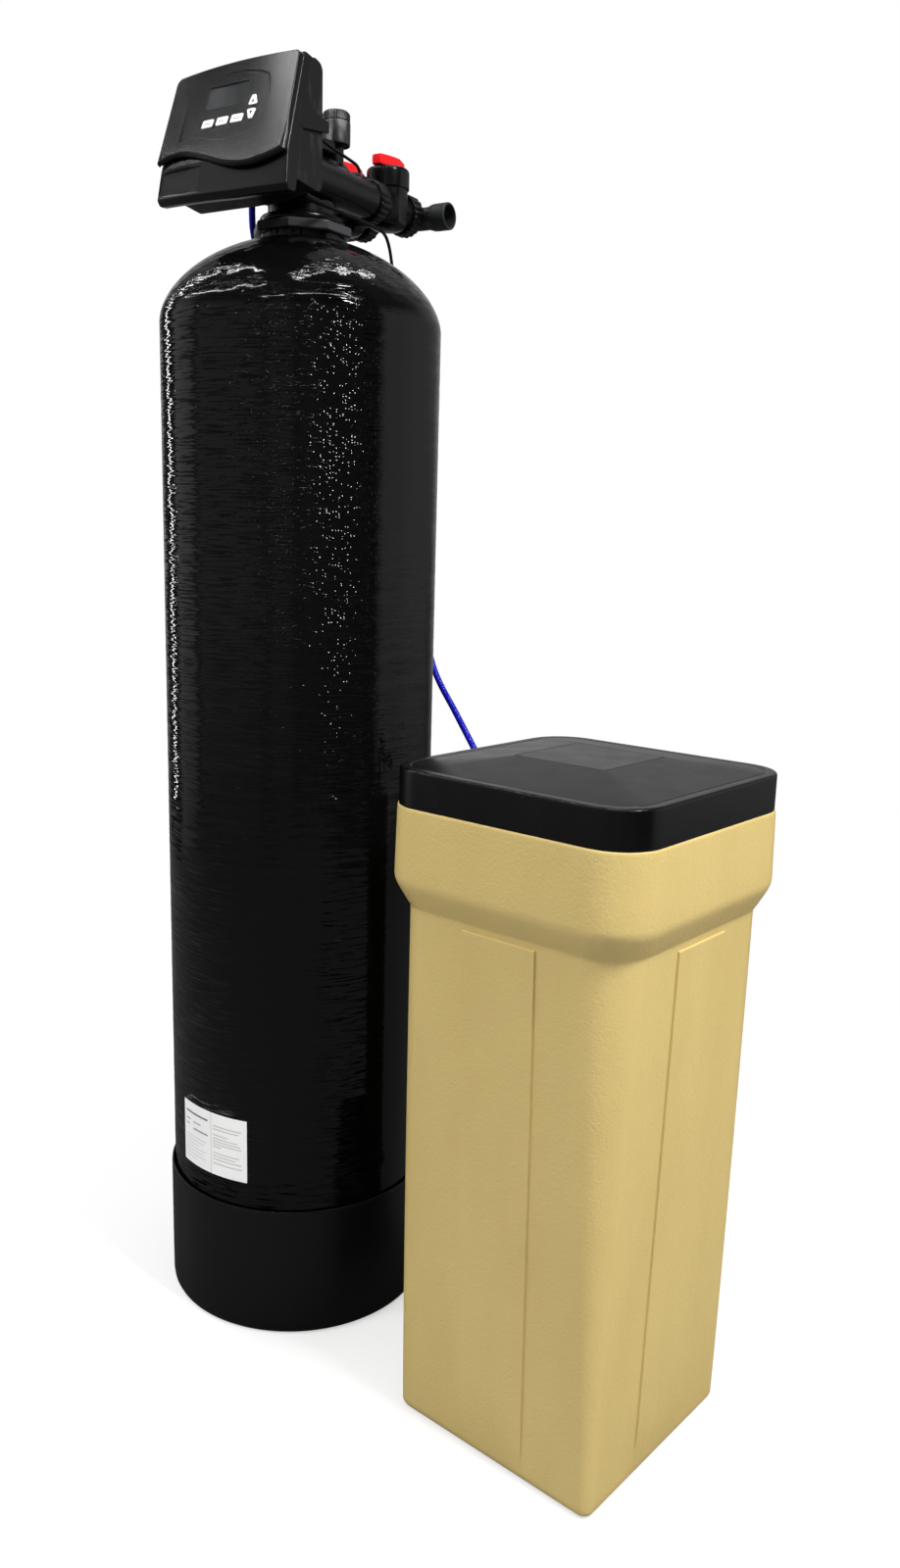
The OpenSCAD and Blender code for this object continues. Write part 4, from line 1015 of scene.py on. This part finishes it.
FRAME_SHARP = 36
frame_side = rounded([(-117, ZS + 21.5), (-78.1, ZS + 16.5), (-78.1, ZS + 148), (-90, ZS + 151),
                      (-94.5, ZS + 145), (-121, ZS + 24)], 6.0, 5)
bracket = piece("gear_frame", *slab(frame_side, in_frame, -84.0, 84.6, 3.0, 1.0, 15), "bracket",
                stands_for=["drive_bracket"], sharp=FRAME_SHARP)
carve(bracket, piece("frame_cut", *slab(inset(frame_side, WALL), in_frame, -80.5, 82.0, 0, 0, 15), "bracket"))
carve(bracket, window_cut())
piece("frame_cheek", *slab(inset(frame_side, -3.6), in_frame, 82.6, 85.6, 1.2, 1.2), "bracket",
      sharp=FRAME_SHARP)
for x, z, r in ((0, ZS + 68, 8.0), (8, ZS + 117, 5.0)):
    carve(bracket, piece("shaft_cut", *lathe([(r, -86), (r, -70)], along_y(x, z), 32), "bracket"))
bracket.data.set_sharp_from_angle(angle=math.radians(FRAME_SHARP))
piece("gear_pin", *lathe([(1.4, -102), (2, -101.4), (2, -79)], along_y(26, ZS + 99), 24), "bracket")


# Valve and bypass
SIDES = (("near", PX, 1), ("far", -PX, -1))
shroud = [(21.1, 30), (22.2, 28), (22.2, 0), (23.0, -30), (25.0, -60), (26.5, -78), (21.1, -78)]
for side, x, _ in SIDES:
    piece("port_shroud_" + side, *lathe(shroud, along_y(x, PZ), 72, closed=True), "valve", sharp=50)
deck = rounded([(-30, -55.5), (26, -55.5), (30, 26), (8, 34), (-30, 34)], 7.0, 5)
piece("valve_deck", *slab(deck, upright(0, 0), ZS + 95, ZS + 108.2, 1.0, 3.0), "bracket",
      slot="black_plastic", sharp=40)


def raised(profile):
    """(radius, height) pairs, with heights above the seat on the tank's neck."""
    return [(r, ZS + z) for r, z in profile]


ring = [(40.2, 12.2), (47.2, 12.2), (49.0, 13.4), (49.6, 15.4), (49.6, 17.4), (49.0, 19.4), (47.4, 20.9),
        (45.2, 21.6), (40.2, 21.6)]
piece("neck_ring", *lathe(raised(ring), n=96, closed=True), "valve", sharp=60)


def eight_sided(r, z, blend, x, y):
    """A ring between a circle and an octagon, z above the seat."""
    out = []
    for i in range(96):
        a = TAU * i / 96
        flat = math.cos(math.pi / 8) / math.cos((a + math.pi / 8) % (math.pi / 4) - math.pi / 8)
        k = r * lerp(1.0, flat * 1.02, blend)
        out.append((x + k * math.cos(a), y + k * math.sin(a), ZS + z))
    return out


collar = [(40.6, 0.2, 0), (55.6, 0.2, 1), (57.0, 1.0, 1), (57.8, 2.2, 1), (57.8, 9.8, 1), (57.0, 11.0, 1),
          (55.6, 11.8, 1), (40.6, 11.8, 0)]
rings = [eight_sided(*step, 0, 0) for step in collar]
piece("neck_collar", *loft(rings + rings[:1], False, False), "collar", stands_for=["tank_collar"], sharp=28)
BARREL = [(0.1, 31.8, 0), (10, 32.0, 0), (16.5, 33.0, 0), (20.8, 35.4, .3), (23.4, 38.8, .8), (24.4, 43, 1),
          (24.5, 48, 1), (24.5, 64, 1), (24.5, 68, .4), (24.5, 72, 0), (24.5, 91.6, 0), (18.2, 91.6, 0),
          (18.2, 40, 0), (0.1, 40, 0)]
NECK_IN = [(13.2, -42), (20.6, -42), (20.8, -36), (20.6, -30), (18.5, -26), (18.5, -15), (13.2, -15)]
NECK_OUT = [(13.2, 15), (18.5, 15), (18.5, 24), (20.0, 27), (20.0, 40), (13.2, 40)]
NUT_R, NUT_RIBS = 23.4, 20


def nut(y0, y1, bore, x):
    """A hand nut: rounded ribs round a ring, soft at both ends."""
    turns = [TAU * i / 160 for i in range(160)]
    ribs = [1.7 * abs(math.cos(NUT_RIBS * a / 2)) ** 0.6 for a in turns]
    steps = [(0.0, 0.0, -1.6), (0.6, 0.2, -0.4), (2.2, 1, 0)]
    rows = [(y0 + d, lift, swell) for d, lift, swell in steps]
    rows += [(y1 - d, lift, swell) for d, lift, swell in reversed(steps)]
    radii = [(y, [NUT_R + swell + lift * rib for rib in ribs]) for y, lift, swell in rows]
    radii += [(y, [bore] * len(turns)) for y in (y1, y0)]
    put = along_y(x, PZ)
    loops = [[put(r * math.cos(a), r * math.sin(a), y) for r, a in zip(row, turns)] for y, row in radii]
    return loft(loops + loops[:1], False, False)


ELBOW_Y, ELBOW_BEND = 62.0, 10.0


def elbow(way, x):
    """A bent pipe with a flared socket and an open bore, from rings of (place, heading, radius)."""
    def curve(r, steps):
        turns = [math.radians(90 * i / 8) for i in steps]
        start = ELBOW_Y - ELBOW_BEND
        return [((ELBOW_BEND * (1 - math.cos(a)), start + ELBOW_BEND * math.sin(a)),
                 (math.sin(a), math.cos(a)), r) for a in turns]

    rings = [((0, y), (0, 1), r) for y, r in (
        (40.2, 19.4), (43.6, 19.4), (44.2, 14.0), (ELBOW_Y - ELBOW_BEND, 13.6))]
    rings += curve(13.6, range(1, 9))
    rings += [((d, ELBOW_Y), (1, 0), r) for d, r in (
        (22, 13.6), (24, 13.9), (28, 15.2), (31, 16.0), (34, 16.2), (51.2, 16.3), (52.4, 16.0), (53, 15.4),
        (53, 13.9), (52.6, 13.5), (52, 13.4), (31, 13.3), (30, 10.5), (20, 10.5), (10, 10.4))]
    rings += curve(9.0, range(7, -1, -1))
    rings.append(((0, 40.2), (0, 1), 10.5))
    loops = []
    for (dx, dy), (hx, hy), r in rings:
        circle = [(r * math.cos(TAU * k / 48), r * math.sin(TAU * k / 48)) for k in range(48)]
        loops.append([(x + way * (dx + hy * u), BY + dy - hx * u, PZ + v) for u, v in circle])
    return loft(loops + loops[:1], False, False)


LEVER_Z = ZS + 103.5


def handle(x):
    """A tapered lever, thick in front and thin at its rear end, from (place, half width, foot, top)."""
    loops = []
    for y, w, z0, z1 in (
            (-26.5, 5.2, 1.2, 10.6), (-25.9, 5.9, .5, 11.6), (-24.5, 6.5, 0.1, 12.1), (-10, 8.3, 0, 13.3),
            (2, 8.6, 0, 14.1), (13, 8.4, .6, 14.7), (22, 6.1, 3.0, 14.2), (30, 3.9, 5.3, 13.6),
            (31.4, 3.2, 6.2, 12.9), (32, 2.4, 7.0, 12.0)):
        section = rounded([(-w, z0), (w, z0), (w, z1), (-w, z1)], min(1.8, w * 0.6), 4)
        loops.append([(x + u, BY + y, LEVER_Z + v) for u, v in section])
    return loft(loops)


for side, x, way in SIDES:
    body = loft([eight_sided(*step, x, BY) for step in BARREL])
    link = lathe([(7.2, 20), (10.8, 20), (10.8, PX), (7.2, PX)],
                 lambda u, v, d, x=x, way=way: (x - way * d, BY + u, PZ - 8 + v), 40, closed=True)
    necks = [lathe([(r, BY + y) for r, y in neck], along_y(x, PZ), 72, closed=True)
             for neck in (NECK_IN, NECK_OUT)]
    piece("bypass_" + side, *merge(body, link, *necks), "valve", stands_for=["bypass_body_" + side], sharp=32)
    piece("pipe_elbow_" + side, *elbow(way, x), "pipe", stands_for=["elbow_" + side], sharp=50)
    piece("lever_" + side, *handle(x), "red", body="bypass_" + side, stands_for=["handle_" + side], sharp=40)
cap = [(7.5, 91.8), (24.7, 91.8), (24.7, 79.8), (26.0, 79.6), (26.5, 80.4), (26.5, 98.0), (26.3, 99.9),
       (25.5, 101.6), (24.2, 102.7), (22.4, 103.1), (7.5, 103.1)]
caps = [lathe(raised(cap), upright(x, BY), 72, closed=True) for _, x, _ in SIDES]
piece("valve_caps", *merge(*caps), "valve", stands_for=["bypass_caps"], sharp=34)
for name, node, y0, y1, bore in (("front", "port_nuts", BY - 45, BY - 27, 17.2),
                                 ("rear", "outlet_nuts", BY + 28, BY + 47, 14.8)):
    nuts = [nut(y0, y1, bore, x) for _, x, _ in SIDES]
    piece("hand_nuts_" + name, *merge(*nuts), "valve", stands_for=[node], sharp=40)

TOWER_X, TOWER_Y = 18.0, 41.0
KNOB_R, KNOB_RIBS = 15.3, 30


def knob_ring(z, lift, swell):
    """One ring of the injector's ribbed cap, z above the seat."""
    turns = [TAU * i / 240 for i in range(240)]
    radii = [KNOB_R + 0.7 * lift * abs(math.cos(KNOB_RIBS / 2 * a)) + swell for a in turns]
    return [(TOWER_X + r * math.cos(a), TOWER_Y + r * math.sin(a), ZS + z) for r, a in zip(radii, turns)]


tower = [(15.2, 108.6), (16.0, 109.2), (16.6, 110.4), (16.7, 112.0), (16.7, 132.5), (16.4, 134.2),
         (15.6, 135.0), (9.4, 135.0), (9.4, 108.6)]
knob = [(135.1, 0, 0), (135.6, 1, 0.3), (142.6, 1, 0.3), (144.0, 0.2, 0), (145.0, 0, -0.8), (145.8, 0, -2.0),
        (146, 0, -4.0), (146, 0, -14)]
piece("injector_tower", *lathe(raised(tower), upright(TOWER_X, TOWER_Y), 64, closed=True), "tower", sharp=40)
knob_rings = [knob_ring(*step) for step in knob]
piece("injector_knob", *loft(knob_rings), "tower", stands_for=["injector_cap"], sharp=36)


# Stage and light
def area(name, place, aim, size, watts, size_y=None):
    data = bpy.data.lights.new(name, "AREA")
    data.shape = "RECTANGLE"
    data.size, data.size_y = size, size_y or size
    data.energy = watts
    obj = bpy.data.objects.new(name, data)
    obj.location = place
    obj.rotation_euler = (Vector(aim) - Vector(place)).to_track_quat("-Z", "Y").to_euler()
    obj.visible_camera = False
    bpy.context.scene.collection.objects.link(obj)
    return obj


def around(az, dist, z):
    """A place at azimuth az, turning from -y toward +x, dist metres from the tank's axis."""
    return (dist * math.sin(math.radians(az)), -dist * math.cos(math.radians(az)), z)


def tube(name, start, end, width, watts):
    """A straight lamp between two points, shining down."""
    a, b = Vector(start), Vector(end)
    run = (b - a).normalized()
    side = Vector((0, 0, 1)).cross(run).normalized()
    lamp = area(name, (a + b) / 2, (a + b) / 2 - Vector((0, 0, 1)), (b - a).length, watts, width)
    lamp.rotation_euler = Matrix((run, side, run.cross(side))).transposed().to_euler()
    return lamp


area("key", around(76, 2.5, 2.9), (0.35, -0.05, 0.7), 0.2, 30, 0.5)
area("side", around(82, 2.1, 3.0), (0.5, -0.05, 0.5), 0.5, 72).visible_glossy = False
area("fill", around(-22, 2.1, 3.2), (0.2, -0.1, 0.7), 1.0, 52).visible_glossy = False
area("strip_left", around(-94, 2.0, 1.15), (0, 0, 0.9), 0.05, 4, 1.9)
tube("tube_back", (-3.0, 0.15, 2.7), (-0.3, -0.3, 2.7), 0.03, 9)
tube("tube_cross", (0.25, -0.6, 2.7), (0.30, 0.9, 2.7), 0.03, 5)
tube("tube_left", (-2.84, -0.61, 2.7), (-1.06, -1.30, 2.7), 0.03, 6)
tube("tube_front", (-1.06, -1.30, 2.7), (-0.13, -1.03, 2.7), 0.03, 3)
tube("tube_right", (0.2, -2.4, 2.7), (1.9, 0.1, 2.7), 0.03, 8)


def light_only(lamp, group, names):
    """Lets a lamp light the named pieces alone."""
    lit = bpy.data.collections.new(group)
    for name in names:
        lit.objects.link(bpy.data.objects[name])
    lamp.light_linking.receiver_collection = lit


sheen = area("sheen", (-0.63, -0.885, 2.68), (0, -0.13, 1.42), 0.36, 3.0)
light_only(sheen, "head_sheen", ("cover_plate", "cover_case", "lcd_glass", "cover_crease"))
chin_glow = area("chin_glow", (-1.27, -1.44, 2.13), (0, -0.14, 1.36), 1.0, 1.1)
light_only(chin_glow, "chin", ("cover_case",))

# World: white to the camera, a plain sky to diffuse rays, a dim room to glossy rays
SKY_LOW, SKY_HIGH = 0.06, 0.76
# Brightness of the room by azimuth, as the pressure tank mirrors it
ROOM = ((-180, .07), (-142, .3), (-122, .3), (-113, .03), (-88, .03), (-84, .44), (-62, .44), (-58, .05),
        (-53, .25), (-15, .26), (5, .21), (9, .07), (13, .21), (29, .19), (34, .05), (40, .10), (60, .05),
        (101, .03), (109, .44), (140, .36), (165, .18), (180, .07))
world = bpy.data.worlds.new("studio")
bpy.context.scene.world = world
sky_graph = Graph(world)
direction = sky_graph.node("ShaderNodeTexCoord").outputs["Generated"]


def lobe(az, height, near, far, peak):
    """A soft bright patch of the room in one direction, for reflections."""
    v = tuple(Vector(around(az, 1.0, height)).normalized())
    d = sky_graph.vec("DOT_PRODUCT", direction, v, "Value")
    return sky_graph.span(d, math.cos(math.radians(far)), math.cos(math.radians(near)), 0.0, peak, True)


def world_level():
    """The strength of the world in each direction, for each kind of ray."""
    g = sky_graph
    east, north, height = g.xyz(direction)
    azimuth = g.math("ARCTAN2", east, g.mul(north, -1.0))
    ramp = g.node("ShaderNodeValToRGB", {0: g.span(azimuth, -math.pi, math.pi, 0.0, 1.0)})
    while len(ramp.color_ramp.elements) < len(ROOM):
        ramp.color_ramp.elements.new(0.5)
    for stop, (az, bright) in zip(ramp.color_ramp.elements, ROOM):
        stop.position = (az + 180) / 360
        stop.color = (bright, bright, bright, 1)
    room = g.mul(ramp.outputs[0], g.span(height, 0.25, 0.55, 1.0, 0.12, True),
                 g.span(height, -0.3, -0.04, 0.35, 1.0))
    room = g.add(room, lobe(206, 0.84, 5, 55, 0.25))
    sky = g.span(height, -0.1, 0.6, SKY_LOW, SKY_HIGH, True)
    path = g.node("ShaderNodeLightPath").outputs
    seen = g.math("MAXIMUM", path["Is Camera Ray"], path["Is Transmission Ray"])
    return g.mix(seen, g.mix(path["Is Glossy Ray"], sky, room), 1.0)


background = world.node_tree.nodes["Background"]
background.inputs["Color"].default_value = (1, 1, 1, 1)
sky_graph.put(background.inputs["Strength"], world_level())


def floor_material():
    """Pale floor that fades to plain white away from the object and keeps its shadow.
    It is nearly black to glossy rays and dimmer to diffuse rays."""
    g = Graph.material("floor_pale")
    x, y, _ = g.xyz(g.coords())
    dx = g.sub(x, 0.2)
    far = g.math("SQRT", g.add(g.mul(dx, dx), g.mul(y, y)))
    lp = g.node("ShaderNodeLightPath").outputs
    lift = g.mul(g.span(far, 0.5, 1.7, 0.55, 1.0, True), lp["Is Camera Ray"])
    dim = g.math("MAXIMUM", g.mul(lp["Is Glossy Ray"], 0.97), g.mul(lp["Is Diffuse Ray"], 0.6))
    tone = g.blend(g.noise(g.coords(), 3.0, 2.0), (0.84, 0.84, 0.84), (0.87, 0.87, 0.87))
    g.shade(Base_Color=g.blend(dim, tone, (0.05, 0.05, 0.05)), Roughness=0.9, Specular_IOR_Level=0.0)
    glow = g.node("ShaderNodeEmission", {"Color": (1, 1, 1), "Strength": 1.0}).outputs[0]
    mix = g.node("ShaderNodeMixShader", {0: lift, 1: g.bsdf.outputs[0], 2: glow}).outputs[0]
    g.put(g.tree.nodes["Material Output"].inputs["Surface"], mix)
    return g.owner


FLOOR = 2.4
floor_mesh = bpy.data.meshes.new("floor")
corners = [(x * FLOOR, y * FLOOR, 0) for x, y in ((-1, -1), (1, -1), (1, 1), (-1, 1))]
floor_mesh.from_pydata(corners, [], [(0, 1, 2, 3)])
floor_mesh.materials.append(floor_material())
floor = bpy.data.objects.new("floor", floor_mesh)
floor.location.z = -0.0004
bpy.context.scene.collection.objects.link(floor)

bpy.context.view_layer.update()
